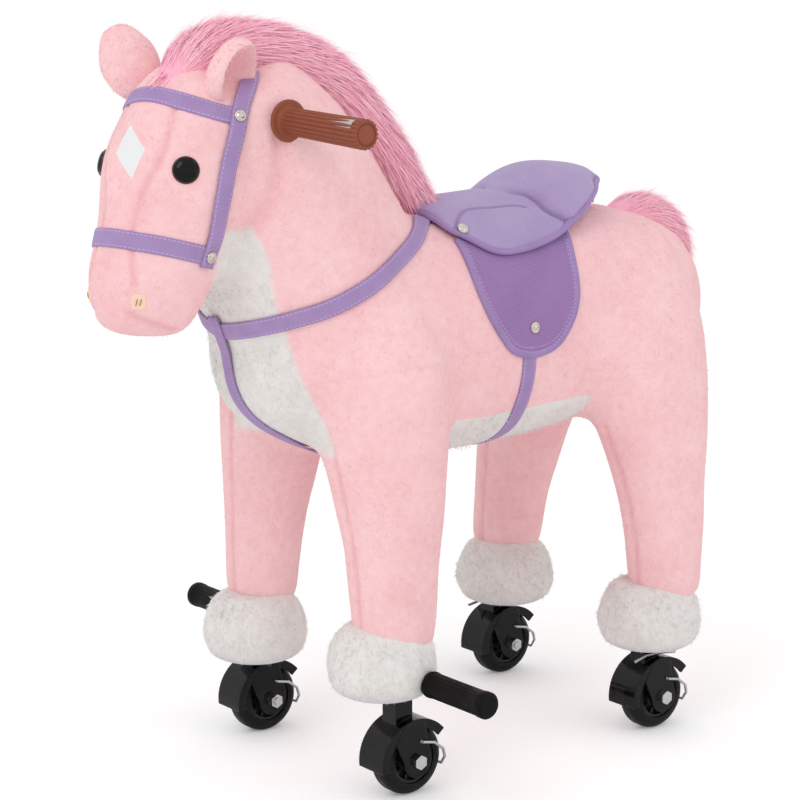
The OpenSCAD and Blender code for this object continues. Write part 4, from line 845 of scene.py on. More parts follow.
# White panels sewn into the plush
t = np.linspace(0.25, 1, 64)  # above that the throat is white in the body's own skin
edge = splineRows(chest["edge"], t) * np.array([0.98, 1, 1])
mid = splineRows(chest["middle"], t)
c = np.radians(90 * np.linspace(-1, 1, 49))
grid = np.stack([edge[:, None, 0] * np.sin(c)[None],
                 mid[:, None, 0] + (edge[:, None, 1] - mid[:, None, 0]) * (1 - np.cos(c))[None],
                 mid[:, None, 1] + (edge[:, None, 2] - mid[:, None, 1]) * (1 - np.cos(c))[None]], -1)
mesh, area = patchMesh("chestPanel", grid, chest["thick"], bodyPiece)
chestPiece = newPiece("chestPanel", mesh, whitePlush, "body", ["chest_panel"])
belly = {"thick": 1.3 * mm, "from": 0.362, "to": 0.668, "angle": 57.0}
grid = formPoint(horse["torso"], np.linspace(belly["from"], belly["to"], 46)[:, None],
                 -90 + belly["angle"] * np.linspace(-1, 1, 49)[None])
mesh, area = patchMesh("bellyPanel", grid, belly["thick"], bodyPiece)
bellyPiece = newPiece("bellyPanel", mesh, whitePlush, "body", ["belly_panel"])


# Hooves: white plush bells gathered round the leg, with a smooth cloth sole
hoof = {"radius": 53 * mm, "height": 66 * mm, "sides": 72, "lump": 1.6 * mm, "lumpSize": 0.045,
        "fold": 1.1 * mm, "folds": 9,
        "profile": [(0, 0), (.40, -.01), (.66, 0), (.86, .08), (.97, .24), (1, .42), (.97, .60), (.91, .76),
                    (.81, .90), (.68, 1.00), (.54, 1.04), (.36, 1.04), (.15, 1.04)],
        "places": {"front_left": (.1068, -.12178, .100), "front_right": (-.1068, -.12178, .086),
                   "rear_left": (.1158, .22122, .088), "rear_right": (-.1158, .22122, .086)}}
for seed, (corner, place) in enumerate(hoof["places"].items()):
    profile = splineRows(hoof["profile"], np.linspace(0, 1, 56))
    profile[:, 0] = np.maximum(profile[:, 0], 0.003)
    points = revolvedAt(profile * np.array([hoof["radius"], hoof["height"]]), hoof["sides"], (0, 0, 0), (0, 0, 1))
    a = np.arctan2(points[..., 1], points[..., 0])
    high = points[..., 2] / hoof["height"]
    body = np.clip(high * 4, 0, 1) * np.clip((1.02 - high) * 6, 0, 1)
    swell = hoof["lump"] * lumps(points.reshape(-1, 3), hoof["lumpSize"], 20 + seed).reshape(a.shape) * 1.6
    swell += hoof["fold"] * np.sin(hoof["folds"] * a + 2.5 * np.sin(2 * a + seed)) * np.clip(high - 0.45, 0, 1) * 1.5
    points[..., :2] *= (1 + swell * body / hoof["radius"])[..., None]
    mesh = meshFrom("hoof", points.reshape(-1, 3) + np.array(place), tubeFaces(*points.shape[:2]))
    ragged = high + 0.05 * np.sin(31 * a) * np.sin(13 * a + seed)
    # darker towards the bottom, under a ragged edge
    floatAttribute(mesh, "darkening", (np.clip((0.17 - ragged) * 9, 0, 1)).ravel())
    piece = newPiece("hoof" + corner.title().replace("_", ""), mesh, whitePlush,
                     "front_legs" if "front" in corner else "body", [corner + "_hoof"])
print("panels and hooves done")


# Ears: stuffed cups, hollow on the outer side
ears = {"half": (19 * mm, 28 * mm), "height": 60 * mm, "sink": 16 * mm, "lump": 1.0 * mm, "lumpSize": 0.03,
        "cup": {"middle": 0.46, "high": 0.52, "wide": 0.80, "deep": 0.35},  # shares of the ear's sizes
        "splay": {1: 27, -1: 33}, "turn": {1: 2, -1: 34}, "size": {1: 0.95, -1: 0.98},
        "place": {1: (0.0410, -0.2560, 0.6720), -1: (0.0640, -0.2590, 0.6800)}}
earForm = {"foot": (0, -ears["sink"]), "reach": (0.001, ears["height"] + ears["sink"]), "half": ears["half"],
           "round": 2.4, "rows": [[0, 0, .75, .90], [0, .3, .92, 1], [0, .6, 1.06, 1], [0, 1, 1, .8]]}
for side, word in sides.items():
    points, faces = loft(earForm, 40, 48)
    size = ears["cup"]
    high = (points[:, 2] - size["middle"] * ears["height"]) / (size["high"] * ears["height"])
    wide = points[:, 1] / (size["wide"] * ears["half"][1])
    cup = np.clip(1 - wide ** 2 - high ** 2, 0, 1) ** 0.7
    front = points[:, 0] > 0
    hollow = points[:, 0] - cup * (points[:, 0] + size["deep"] * ears["half"][0])
    points[:, 0] = np.where(front, hollow, points[:, 0])
    points += (ears["lump"] * lumps(points, ears["lumpSize"], 40))[:, None] * unit(points)
    a, b = np.radians(ears["turn"][side]), np.radians(ears["splay"][side])
    x = points[:, 0] * np.cos(a) - points[:, 1] * np.sin(a)
    y, z = points[:, 0] * np.sin(a) + points[:, 1] * np.cos(a), points[:, 2]
    points = np.stack([x * np.cos(b) + z * np.sin(b), y, -x * np.sin(b) + z * np.cos(b)], -1)
    points = ears["size"][side] * points + np.array(ears["place"][side])
    mesh = meshFrom("ear", turned(onSide(points, side)), faces)
    # painted shade in the hollow of the cup, deepest in its middle
    floatAttribute(mesh, "darkening", 0.55 * cup * front)
    piece = newPiece("ear" + word, mesh, pinkPlush, "body", [word.lower() + "_ear"])


# Mane and tail: long polyester pile brushed one way and matt, with painted shade that darkens it towards the roots,
# so it is paler towards the tips
def pileMaterial(name, root, tip):
    material, tree, shader = newMaterial(name, {"Roughness": 0.6, "Specular IOR Level": 0.2})
    tone = addNode(tree, "Attribute", attribute_name="tone")
    place = addNode(tree, "TexCoord").outputs["Object"]
    drift = addNode(tree, "TexNoise", {"Vector": place, "Scale": 1 / 0.012, "Detail": 2})
    share = addNode(tree, "Math", {0: drift, 1: 0.5, 2: tone.outputs["Fac"]}, operation="MULTIPLY_ADD")
    share = addNode(tree, "Math", {0: share, 1: 0.25}, operation="SUBTRACT")
    colour = addNode(tree, "Mix", {"Factor": share, "A": root, "B": tip}, data_type="RGBA")
    setInputs(tree, shader, {"Base Color": colour})
    return material


longPile = pileMaterial("longPilePlush", "FFACC7", "FFD4E0")


def pilePiece(name, form, pile, node, flowSign, outer):
    # a core of the form with hairs rooted all over it; each leans out of the core and along the flow
    rng = np.random.default_rng(pile["seed"])
    form = dict(form, foot=(form["foot"][0] + pile["shift"][0], form["foot"][1] + pile["shift"][1]))
    core = dict(form, half=tuple(pile["core"] * h for h in form["half"]))
    points, faces = loft(core, 36, 28)
    n = pile["count"]
    # crowd below 1 sets more hairs near the far end
    t = pile["from"] + (pile["to"] - pile["from"]) * rng.uniform(size=n) ** pile["crowd"]
    angle = outer + pile["spread"] * rng.uniform(-1, 1, n)
    roots = formPoint(core, t, angle)
    line = np.concatenate([np.zeros((n, 1)), formLine(form, t)], 1)
    out = unit(roots - line)
    ahead = formLine(form, np.minimum(1, t + 0.01)) - formLine(form, np.maximum(0, t - 0.01))
    flow = flowSign * unit(np.concatenate([np.zeros((n, 1)), ahead], 1))
    forward = (t > pile["forelock"]) & (rng.uniform(size=n) < 0.5)  # these fall over the forehead
    flow = np.where(forward[:, None], -flow, flow)
    clump = np.floor(t * pile["clumps"]) * 7 + np.floor(angle / 16)
    sway = np.stack([np.sin(clump * 12.9898 + k * 4.1) for k in range(3)], 1)
    lean = unit(pile["lean"] * out + flow * pile["flow"] + pile["sway"] * sway + 0.09 * rng.normal(size=(n, 3)))
    curve = -pile["fall"] * out * 0.5 + 0.35 * pile["fall"] * flow + np.array([0, 0, -pile["drop"]])
    curve = curve + 0.05 * rng.normal(size=(n, 3))
    length = pile["length"] * rng.uniform(0.65, 1.15, n) * np.where(forward, 0.5, 1)
    hairs, hairFaces, along = fibres(roots, out, lean, curve, length, np.full(n, pile["width"]), 3)
    mesh = meshFrom(name, np.concatenate([points, hairs]), faces + (hairFaces + len(points)).tolist())
    # a random tone for each hair and clump, rising towards the tips; the darker roots and the darker core under the
    # hairs are painted shade
    tones = np.repeat(rng.uniform(0.0, 0.45, n) + 0.2 * (sway[:, 0] > 0.2), 10) + 0.40 * along
    floatAttribute(mesh, "tone", np.concatenate([np.full(len(points), 0.15), tones]))
    piece = newPiece(name, mesh, longPile, "body", [node], outward=False)
    # the hairs keep flat faces, so each shows the side turned out of the coat
    mesh.polygons.foreach_set("use_smooth", np.arange(len(mesh.polygons)) < len(faces))


mane = {"seed": 3, "crowd": 0.8, "forelock": 0.94, "core": 0.88, "count": 11500, "from": 0.01, "to": 0.998,
        "spread": 165, "clumps": 60, "lean": 0.20, "flow": 1.0, "sway": 0.07, "fall": 0.16, "drop": 0.05,
        "length": 34 * mm, "width": 0.60 * mm, "shift": (-0.003, -0.0065)}
tail = {"seed": 4, "crowd": 1.0, "forelock": 2.0, "core": 0.90, "count": 11500, "from": 0.05, "to": 0.985,
        "spread": 170, "clumps": 50, "lean": 0.12, "flow": 1.0, "sway": 0.06, "fall": 0.14, "drop": 0.05,
        "length": 34 * mm, "width": 0.60 * mm, "shift": (0.003, -0.004)}
pilePiece("maneHair", horse["mane"], mane, "mane", -1, -90)
pilePiece("tailHair", horse["tail"], tail, "tail", 1, 90)
print("mane and tail done")


# Face
blaze = {"across": (.0162, .0060, .0028), "up": (-.0105, .0063, .0247), "thick": 1.0 * mm,
         "middle": (0.018, -0.338, 0.626)}
a = np.linspace(-1, 1, 31)
u, v = (a[:, None] + a[None]) / 2, (a[:, None] - a[None]) / 2
grid = np.array(blaze["middle"]) + u[..., None] * np.array(blaze["across"]) + v[..., None] * np.array(blaze["up"])
mesh, area = patchMesh("blaze", grid, blaze["thick"], bodyPiece)
blazePiece = newPiece("blazePatch", mesh, whiteFelt, "body", ["blaze"])

eye = {"half": 10.8 * mm, "dome": 7.0 * mm, "sink": 2.0 * mm, "edge": 3.2 * mm, "sides": 40,
       "place": (0.059, -0.305, 0.610),
       "ring": [(9.5, -2), (12.3, -2), (12.6, 0.5), (12.5, 2.2), (11.9, 3.3), (11.1, 3.5), (10.6, 3.0), (9.5, 2.0)]}
a = np.radians(np.linspace(0, 90, 16))
dome = np.stack([eye["half"] * np.cos(a), eye["edge"] + (eye["dome"] - eye["edge"]) * np.sin(a)], 1)
dome = np.concatenate([[(eye["half"], -eye["sink"])], dome[:-1]])
domes, rims = [], []
for place in (np.array(eye["place"]), acrossHead(eye["place"])):
    (base,), (out,) = seatOn(place[None], bodyPiece)
    foot, n = base - out * eye["sink"], eye["sides"]
    ball = revolvedAt(dome, n, foot, out).reshape(-1, 3)
    last = len(ball) - n + np.arange(n)
    cap = np.stack([last, np.roll(last, -1), np.full(n, len(ball))], 1).tolist()
    domes.append((np.concatenate([ball, [base + out * (eye["dome"] - eye["sink"])]]),
                  gridFaces(len(dome), n, 0, True).tolist() + [list(range(n))] + cap))
    ring = revolvedAt(np.array(eye["ring"]) * mm, n, foot, out).reshape(-1, 3)
    rims.append((ring, (gridFaces(len(eye["ring"]) + 1, n, 0, True) % len(ring)).tolist()))
newPiece("eyeDomes", meshFrom("eyeDomes", *joined(domes)), eyePlastic, "body", ["eyes"])
newPiece("eyeRims", meshFrom("eyeRims", *joined(rims)), eyeRim, "body")

nostril = {"half": 7.0 * mm, "thick": 0.9 * mm, "place": (0.049, -0.351, 0.494), "thread": 0.45 * mm,
           "stitches": [(-.38, -.45, -.12, .45), (.12, -.45, .38, .45)]}
a = np.linspace(-1, 1, 21)
drawnIn = 1 - 0.12 * (a[:, None] ** 2) * (a[None] ** 2)  # at the corners
e = np.maximum(np.abs(a)[:, None], np.abs(a)[None])
b = roundSteps(6)
patches, threads = [], []
for place in (np.array(nostril["place"]), acrossHead(nostril["place"])):
    (base,), (out,) = seatOn(place[None], bodyPiece)
    side = unit(np.cross([0, 0, 1], out))
    up = np.cross(out, side)
    grid = (a[None] * drawnIn)[..., None] * side + (a[:, None] * drawnIn)[..., None] * up * 1.05
    laid, n = seatOn(base + nostril["half"] * grid, bodyPiece)
    patches.append(closedPad(laid - n * 0.0006, laid + n * (0.0003 + nostril["thick"] * (1 - e ** 8))[..., None]))
    for x0, y0, x1, y1 in nostril["stitches"]:
        ends = np.array([[x0, y0], [x1, y1]]) * nostril["half"]
        path = base + (ends[0] + (ends[1] - ends[0]) * np.linspace(0, 1, 9)[:, None]) @ np.stack([side, up])
        path, n = seatOn(path, bodyPiece)
        path = path + n * (nostril["thick"] + 0.2 * mm + 0.6 * mm * np.sin(np.linspace(0, np.pi, 9)))[:, None]
        cross = unit(np.cross(n, np.gradient(path, axis=0)))
        around = np.cos(b)[None, :, None] * cross[:, None] + np.sin(b)[None, :, None] * n[:, None]
        threads.append(((path[:, None] + nostril["thread"] * around).reshape(-1, 3), tubeFaces(9, 6)))
newPiece("nostrilPatches", meshFrom("nostrilPatches", *joined(patches)), peachFelt, "body",
         ["nostrils"])
newPiece("nostrilStitches", meshFrom("nostrilStitches", *joined(threads)), brownThread, "body")
print("face done")


# Saddle seat: foam pad under suede cloth, swelled by a cloth simulation, with a cantle rising to the rear rim
seat = {"from": 0.385, "to": 0.79136, "angle": 48.0, "halves": [.66, 1, 1.03, .95, .80, .58, .26], "edge": 4 * mm,
        "crown": 5 * mm, "cantle": 36 * mm, "cantleFrom": 0.50, "cantleTo": 0.86, "base": 3.6 * mm, "voxel": 3.2 * mm,
        "cap": 5 * mm, "pressure": 4.0, "stiffness": 25, "frames": 20, "sewn": 1.3 * mm, "fold": 6.5 * mm,
        "sewnReach": 3.4 * mm, "foldReach": 10 * mm, "sharpReach": 4 * mm, "foldEdge": (0.012, 0.045)}


def seatGrid(s, c, share):
    # share 0 is the underside, 1 the top; the rise is edge + crown (1 - c^4) + a cantle that climbs to the rear
    half = seat["angle"] * splineRows(np.array(seat["halves"])[:, None], s)[..., 0]
    ramp = step(s, seat["cantleFrom"], seat["cantleTo"])
    close = np.maximum(0, 1 - np.abs(2 * s - 1) ** 3) ** (1 / 6)
    rise = seat["edge"] + seat["crown"] * (1 - c ** 4) * close * (1 - ramp)
    rise = rise + seat["cantle"] * ramp * (1 - 0.20 * c * c)
    t = seat["from"] + (seat["to"] - seat["from"]) * s
    return formPoint(horse["torso"], t, 90 - c * half, seat["base"] + share * rise)


def swelled(points, faces, soft, hold):
    # voxel skin of the pad, blown up by cloth pressure while points near the underside are held
    skin = voxelSkin([(points, faces.tolist())], soft["voxel"])
    holder = bpy.data.objects.new("swelling", meshFrom("swelling", skin.points, skin.quads))
    scene.collection.objects.link(holder)
    group = holder.vertex_groups.new(name="held")
    group.add(np.flatnonzero(hold(skin.points)).tolist(), 1.0, "REPLACE")
    settings = holder.modifiers.new("cloth", "CLOTH").settings
    settings.use_pressure, settings.uniform_pressure_force = True, soft["pressure"]
    settings.effector_weights.gravity = 0.0
    settings.vertex_group_mass = "held"
    settings.tension_stiffness = settings.compression_stiffness = soft["stiffness"]
    for number in range(1, soft["frames"] + 1):
        scene.frame_set(number)
    done = holder.evaluated_get(bpy.context.evaluated_depsgraph_get())
    move = readArray(done.to_mesh().vertices, "co", 3) - skin.points
    done.to_mesh_clear()
    bpy.data.objects.remove(holder)
    scene.frame_set(1)
    far = np.linalg.norm(move, axis=1, keepdims=True)
    skin.points = skin.points + move * np.minimum(1, soft["cap"] / np.maximum(far, 1e-9))
    skin.relax(2)
    return skin


s, c = np.linspace(0, 1, 60)[:, None], np.linspace(-1, 1, 56)[None]
points, faces = closedPad(seatGrid(s, c, 0.0), seatGrid(s, c, 0.92))
onBack = seat["base"] + 2 * mm
seatSkin = swelled(points, faces, seat, lambda p: np.linalg.norm(p - wrapOnto(p, wholeTarget), axis=1) < onBack)
finer = meshFrom("finer", seatSkin.points, seatSkin.quads)
seatSkin = Skin(throughModifier(finer, "SUBSURF", levels=1, render_levels=1))
panelLine = [(.0705, -.0033, .5356), (.0617, .0063, .5428), (.0530, .0190, .5474), (.0493, .0316, .5495),
             (.0495, .0442, .5496), (.0500, .0630, .5492), (.0500, .0860, .5484), (.0540, .1010, .5433),
             (.0610, .1083, .5388), (.0700, .1153, .5353), (.0796, .1227, .5327)]
foldLine = [(.0832, .1275, .5337), (.0786, .1235, .5375), (.0722, .1198, .5402), (.0639, .1165, .5446),
            (.0567, .1161, .5500), (.0458, .1165, .5559), (.0336, .1140, .5600), (.0220, .1070, .5604),
            (.0120, .1020, .5605), (0, .1000, .5605)]


def onSeat(places):
    # the line moved to the nearest points of the seat
    line, points = evenPath(places, 1.5 * mm), seatSkin.points
    near = [np.linalg.norm(points[None] - part[:, None], axis=2).argmin(1) for part in np.array_split(line, 8)]
    return smoothRows(points[np.concatenate(near)], 6)


panelSeams = [onSeat(np.array(panelLine) * m) for m in (1, otherSide)]
fold = onSeat(foldLine + (np.array(foldLine)[-2::-1] * otherSide).tolist())
sewn = np.maximum(*(nearPath(seatSkin.points, line, seat["sewnReach"]) for line in panelSeams))
towardsEdge = step(np.abs(seatSkin.points[:, 0]), *seat["foldEdge"])
crease = nearPath(seatSkin.points, fold, seat["foldReach"]) * (0.45 + 0.55 * towardsEdge)
sharp = nearPath(seatSkin.points, fold, seat["sharpReach"]) * (0.3 + 0.7 * towardsEdge)
depth = np.maximum(seat["sewn"] * sewn, seat["fold"] * (0.6 * crease + 0.4 * sharp))
seatSkin.points = seatSkin.points - seatSkin.normals() * depth[:, None]
mesh = meshFrom("saddleSeat", seatSkin.points, seatSkin.quads)
# painted shade in the sewn panel seams and in the fold where the cantle rises
floatAttribute(mesh, "darkening", np.maximum(0.8 * sewn, 0.75 * sharp))
seatPiece = newPiece("saddleSeat", mesh, seatCloth, "body", ["saddle_seat"])
binding = {"wide": 3.4 * mm, "high": 2.6 * mm, "inset": 0.985, "share": 0.55, "climb": 0.22,
           "climbs": (0.55, 0.85)}
round1 = np.linspace(0, 1, 120)
edgeS = np.concatenate([round1, np.ones(24), round1[::-1], np.zeros(16)])
edgeC = np.concatenate([np.ones(120), np.linspace(1, -1, 26)[1:-1], -np.ones(120), np.linspace(-1, 1, 18)[1:-1]])
share = binding["share"] + binding["climb"] * step(edgeS, *binding["climbs"])
path = seatGrid(edgeS, binding["inset"] * edgeC, share)
path = np.roll(path, 90, 0)  # its ends meet behind, on the far side
path = smoothRows(np.concatenate([path[-20:], path, path[:20]]), 12)[20:-16]
path = evenPath(path[::3], 3 * mm)
up = unit(seatOn(path)[1] + np.array([0, 0, 0.2]))
mesh = tapeMesh("seatBinding", path, unit(smoothRows(up, 10)), binding)
newPiece("seatBinding", mesh, bindingTape, "body")
print("seat done")


# Saddle flaps: stiff twill lying on the flank, with a bound edge
flap = {"thick": 2.6 * mm, "lift": 0.4 * mm, "top": 54.0, "drop": 59.0, "half": 75 * mm, "flat": (0.15, 0.132),
        "middle": [.066, .062, .0585, .058, .0595, .061, .061], "binding": {"wide": 3.6 * mm, "high": 2.3 * mm}}
s, c = 1 - np.linspace(1, 0, 80) ** 1.7, np.linspace(-1, 1, 50)
middle = splineRows(np.array(flap["middle"])[:, None], s)[:, 0]
half = flap["half"] * (1 - 0.2 * s) * np.maximum(1 - s ** 5, 2e-5) ** (1 / 2.2)  # straight sides, round foot
half = np.maximum(half, 2 * mm)
share = (middle[:, None] + half[:, None] * c[None] - horse["torso"]["foot"][0]) / horse["torso"]["reach"][0]
flat = formPoint(horse["torso"], share, (flap["top"] - flap["drop"] * s)[:, None])
for side, word in sides.items():
    base, out = seatOn(onSide(flat, side))
    base, out = smoothRows(base, 3), unit(smoothRows(out, 8))
    mesh = meshFrom("saddleFlap", *closedPad(base + out * flap["lift"], base + out * (flap["lift"] + flap["thick"])))
    outline = np.concatenate([base[:, 0], base[-1, 1:-1], base[::-1, -1]])
    far = np.linalg.norm(base.reshape(-1, 1, 3) - outline[None], axis=2)
    toEdge, around = far.min(1), runAlong(outline)[far.argmin(1)]
    floatAttribute(mesh, "rim", np.concatenate([np.ones(toEdge.size), toEdge.ravel()]))
    floatAttribute(mesh, "run", np.tile(around, 2))
    piece = newPiece("saddleFlap" + word, mesh, flapCloth, "body", [word.lower() + "_saddle_flap"])
    centre = base + out * (flap["lift"] + flap["thick"] / 2)
    path, up = (smoothRows(np.concatenate([g[:, 1], g[-1, 2:-2:8], g[::-1, -2]]), 6) for g in (centre, out))
    newPiece("flapBinding" + word, tapeMesh("flapBinding", path, unit(up), flap["binding"]),
             bindingTape, "body")
print("flaps done")


# Straps
strap = {"width": 17 * mm, "thick": 1.8 * mm, "step": 3 * mm}


def strapPiece(name, places, node, lift=0.3 * mm, width=strap["width"], target=wholeTarget):
    mesh, middle = strapMesh(name, places, dict(strap, width=width), lift, target)
    piece = newPiece(name, mesh, strapWebbing, "body", [node] if node else ())
    return middle


girth = formPoint(horse["torso"], 0.50243, np.linspace(0, -180, 60))
strapPiece("girthStrap", girth, "girth_strap", [0.1 * mm] * 2 + [0.4 * mm] * 8 + [0.1 * mm] * 2)
near = [(.036, -.016, .547), (.050, -.032, .539), (.074, -.058, .529), (.095, -.091, .517), (.105, -.134, .495),
        (.094, -.172, .477), (.072, -.202, .466), (.039, -.224, .456), (0, -.230, .450)]
strapPiece("breastStrap", near + [(-x, y, z) for x, y, z in near[-2::-1]], "breast_strap", 1.6 * mm)
martingale = [(0, -.234, .466), (0, -.230, .452), (-.003, -.225, .435), (-.008, -.213, .411), (0, -.207, .385),
              (.014, -.194, .362), (.020, -.168, .343), (.014, -.115, .315), (.004, -.050, .306), (0, .020, .306)]
strapPiece("martingaleStrap", martingale, "martingale_strap", [3.8 * mm] * 2 + [1.7 * mm] + [1.6 * mm] * 9, 15 * mm)
brow = [(.060, -.242, .652), (.058, -.247, .654), (.051, -.273, .661), (.035, -.294, .669), (.006, -.3065, .674)]
nose = [(.058, -.277, .5285), (.061, -.284, .531), (.063, -.305, .537), (.055, -.331, .544), (.036, -.351, .548),
        (.0185, -.3595, .5495)]
for name, half, node in (("browStrap", brow, "browband"), ("noseStrap", nose, "noseband")):
    strapPiece(name, half + acrossHead(half[-2::-1]).tolist(), node, target=bodyPiece)
cheek = [(.036, -.218, .690), (.045, -.225, .683), (.050, -.233, .676), (.054, -.241, .665), (.058, -.247, .654),
         (.064, -.256, .634), (.069, -.267, .613), (.071, -.276, .578), (.064, -.279, .546), (.061, -.284, .531),
         (.059, -.287, .521)]
strapPiece("cheekStrapLeft", cheek, "headstall_strap", 2.2 * mm, 16 * mm, bodyPiece)
strapPiece("cheekStrapRight", acrossHead(cheek).tolist(), None, 2.2 * mm, 16 * mm, bodyPiece)

# profile and lifts in millimetres
rivet = {"sides": 32, "headLift": 4.4, "seatLift": 0.8, "flapLift": 3.4,
         "profile": [(0.4, -1.5), (5.2, -1.5), (5.6, 0.2), (5.5, 0.9), (5.0, 1.3), (4.3, 1.15), (3.9, 0.85),
                     (3.4, 1.2), (2.4, 1.9), (1.2, 2.2), (0.05, 2.3)]}
headPlaces = np.array([(.058, -.247, .654), (.061, -.284, .531)])
headBase, headOut = seatOn(np.concatenate([headPlaces, acrossHead(headPlaces)]), bodyPiece)
seatPlace = seatGrid(np.full(2, 0.06), np.array([0.90, -0.90]), 1.0)
flapPlace = np.array([(.115, .058, .438), (-.115, .058, .438)])
flapBase, flapOut = seatOn(flapPlace)
seatOut = unit(seatOn(seatPlace)[1] + np.array([[0.35, -0.1, 0], [-0.35, -0.1, 0]]))
places = np.concatenate([headBase + headOut * rivet["headLift"] * mm,
                         seatPlace + seatOut * rivet["seatLift"] * mm,
                         flapBase + flapOut * rivet["flapLift"] * mm])
axes = np.concatenate([headOut, seatOut, flapOut])
profile = np.array(rivet["profile"]) * mm
shells = [(revolvedAt(profile, rivet["sides"], place, axis).reshape(-1, 3), tubeFaces(len(profile), rivet["sides"]))
          for place, axis in zip(places, axes)]
newPiece("strapRivets", meshFrom("strapRivets", *joined(shells)), nickel, "body", ["strap_rivets"])
print("straps done")


# Hand grips and foot pegs
grip = {"axis": (-.2053, .6498), "start": .0755, "end": .189, "radius": 13.8 * mm, "flange": 19.5 * mm,
        "grooves": 20, "depth": 1.6 * mm, "sweep": (0.035, -0.045)}
peg = {"axis": (-.1035, .11768), "start": .152, "end": .244, "radius": 13 * mm, "grooves": 20, "depth": 0.7 * mm,
       "sweep": (0, 0)}


def turnedBar(name, bar, profile, grooveFrom, grooveTo, sides=160):
    # bar along X on both sides: profile rows are (x, radius); n grooves run lengthwise,
    # depth (1 - |cos(n a / 2)|^0.6)
    rows = [np.linspace(profile[k], profile[k + 1], 5)[:-1] for k in range(len(profile) - 1)]
    x, r = np.concatenate(rows + [profile[-1:]]).T
    a = roundSteps(sides)
    on = np.clip((x - grooveFrom) / 0.002, 0, 1) * np.clip((grooveTo - x) / 0.002, 0, 1)
    on = on * np.clip((r / bar["radius"] - 0.75) / 0.1, 0, 1)  # the end faces stay round
    radius = r[:, None] - bar["depth"] * on[:, None] * (1 - np.abs(np.cos(bar["grooves"] * a / 2)) ** 0.6)[None]
    (y, z), (back, up) = bar["axis"], bar["sweep"]
    out = (x - bar["start"])[:, None]
    ring = np.stack([np.broadcast_to(x[:, None], radius.shape), y + back * out + radius * np.cos(a),
                     z + up * out + radius * np.sin(a)], -1)
    points, faces = ring.reshape(-1, 3), tubeFaces(len(x), sides)
    return meshFrom(name, *joined([(points, faces), (points * otherSide, faces)]))


r, f, x0, x1 = grip["radius"], grip["flange"], grip["start"], grip["end"]
profile = [(x0, 9 * mm), (x0, f - 1.0 * mm), (x0 + 0.8 * mm, f), (x0 + 2.2 * mm, f), (x0 + 3.2 * mm, f - 1.2 * mm),
           (x0 + 3.6 * mm, r), (x0 + 6 * mm, r - 1.2 * mm), (x0 + 14 * mm, r - 0.9 * mm), (x1 - 6 * mm, r),
           (x1 - 1.4 * mm, r), (x1, r - 1.2 * mm), (x1, r - 3.2 * mm), (x1 - 1.0 * mm, r - 3.6 * mm),
           (x1 - 1.0 * mm, r - 4.4 * mm), (x1 - 0.2 * mm, r - 5.0 * mm), (x1, 0.4 * mm)]
mesh = turnedBar("handGrips", grip, profile, x0 + 8 * mm, x1 + 3 * mm)
newPiece("handGrips", mesh, gripPlastic, "body", ["hand_grips"])
r, x0, x1 = peg["radius"], peg["start"], peg["end"]
profile = [(x0, 6 * mm), (x0, r * 0.85), (x0 + 8 * mm, r * 0.85), (x0 + 8.6 * mm, r), (x0 + 11 * mm, r),
           (x0 + 12 * mm, r - 0.6 * mm), (x1 - 9 * mm, r - 0.6 * mm), (x1 - 8 * mm, r), (x1 - 2 * mm, r),
           (x1 - 0.4 * mm, r - 1.2 * mm), (x1, r - 2.4 * mm), (x1, 0.4 * mm)]
mesh = turnedBar("footPegs", peg, profile, x0 + 12 * mm, x1 - 10 * mm)
newPiece("footPegs", mesh, pegPlastic, "front_legs", ["foot_pegs"])
print("grips and pegs done")


# Nap: loose fibres standing out of the short pile, seen along the outlines
def napPiece(name, piece, pile, material, body, clear=(), keep=None):
    # roots spread evenly over the faces; each fibre leans out of the skin and down along it
    rng = np.random.default_rng(pile["seed"])
    mesh = piece.data
    mesh.calc_loop_triangles()
    corners = readArray(mesh.loop_triangles, "vertices", 3, int)
    points, normals = (readArray(mesh.vertices, key, 3) for key in ("co", "normal"))
    first, second, third = (points[corners[:, k]] for k in range(3))
    area = np.linalg.norm(np.cross(second - first, third - first), axis=1)
    pick = corners[rng.choice(len(corners), pile["count"], p=area / area.sum())]
    u, v = np.sqrt(rng.uniform(size=pile["count"])), rng.uniform(size=pile["count"])
    share = np.stack([1 - u, u * (1 - v), u * v], 1)[..., None]
    roots, out = (points[pick] * share).sum(1), unit((normals[pick] * share).sum(1))
    free = np.ones(len(roots), bool) if keep is None else keep(roots)
    for other, gap in clear:
        free &= np.linalg.norm(wrapOnto(roots, other) - roots, axis=1) > gap
    roots, out = roots[free], out[free]
    n = len(roots)
    brushed = np.array([0, 0.25, -1.0]) + 0.7 * np.stack([lumps(roots, 0.05, pile["seed"] + k) for k in range(3)], 1)
    flow = unit(brushed - out * np.einsum("ij,ij->i", out, brushed)[:, None])
    lean = unit(pile["lift"] * out + flow + 0.3 * rng.normal(size=(n, 3)))
    curve = -0.25 * pile["lift"] * out + 0.1 * rng.normal(size=(n, 3))
    length = pile["length"] * rng.uniform(0.6, 1.2, n)
    hairs, faces, along = fibres(roots - out * 0.0003, out, lean, curve, length, np.full(n, pile["width"]), 2)
    coat = meshFrom(name, hairs, faces)
    floatAttribute(coat, "white", np.repeat(chestShare(roots), 7))
    return newPiece(name, coat, material, body, smooth=False, outward=False)


nap = {"body": 19000, "leg": 4600, "hoof": 3000, "chest": 3500, "belly": 2600, "ear": 1300}  # fibres on each
pinkNap = {"length": 4.0 * mm, "width": 0.42 * mm, "lift": 0.40}
whiteNap = {"length": 6.0 * mm, "width": 0.45 * mm, "lift": 0.55}


def clearOf(gap, *names):
    return [(bpy.data.objects[name], gap) for name in names]


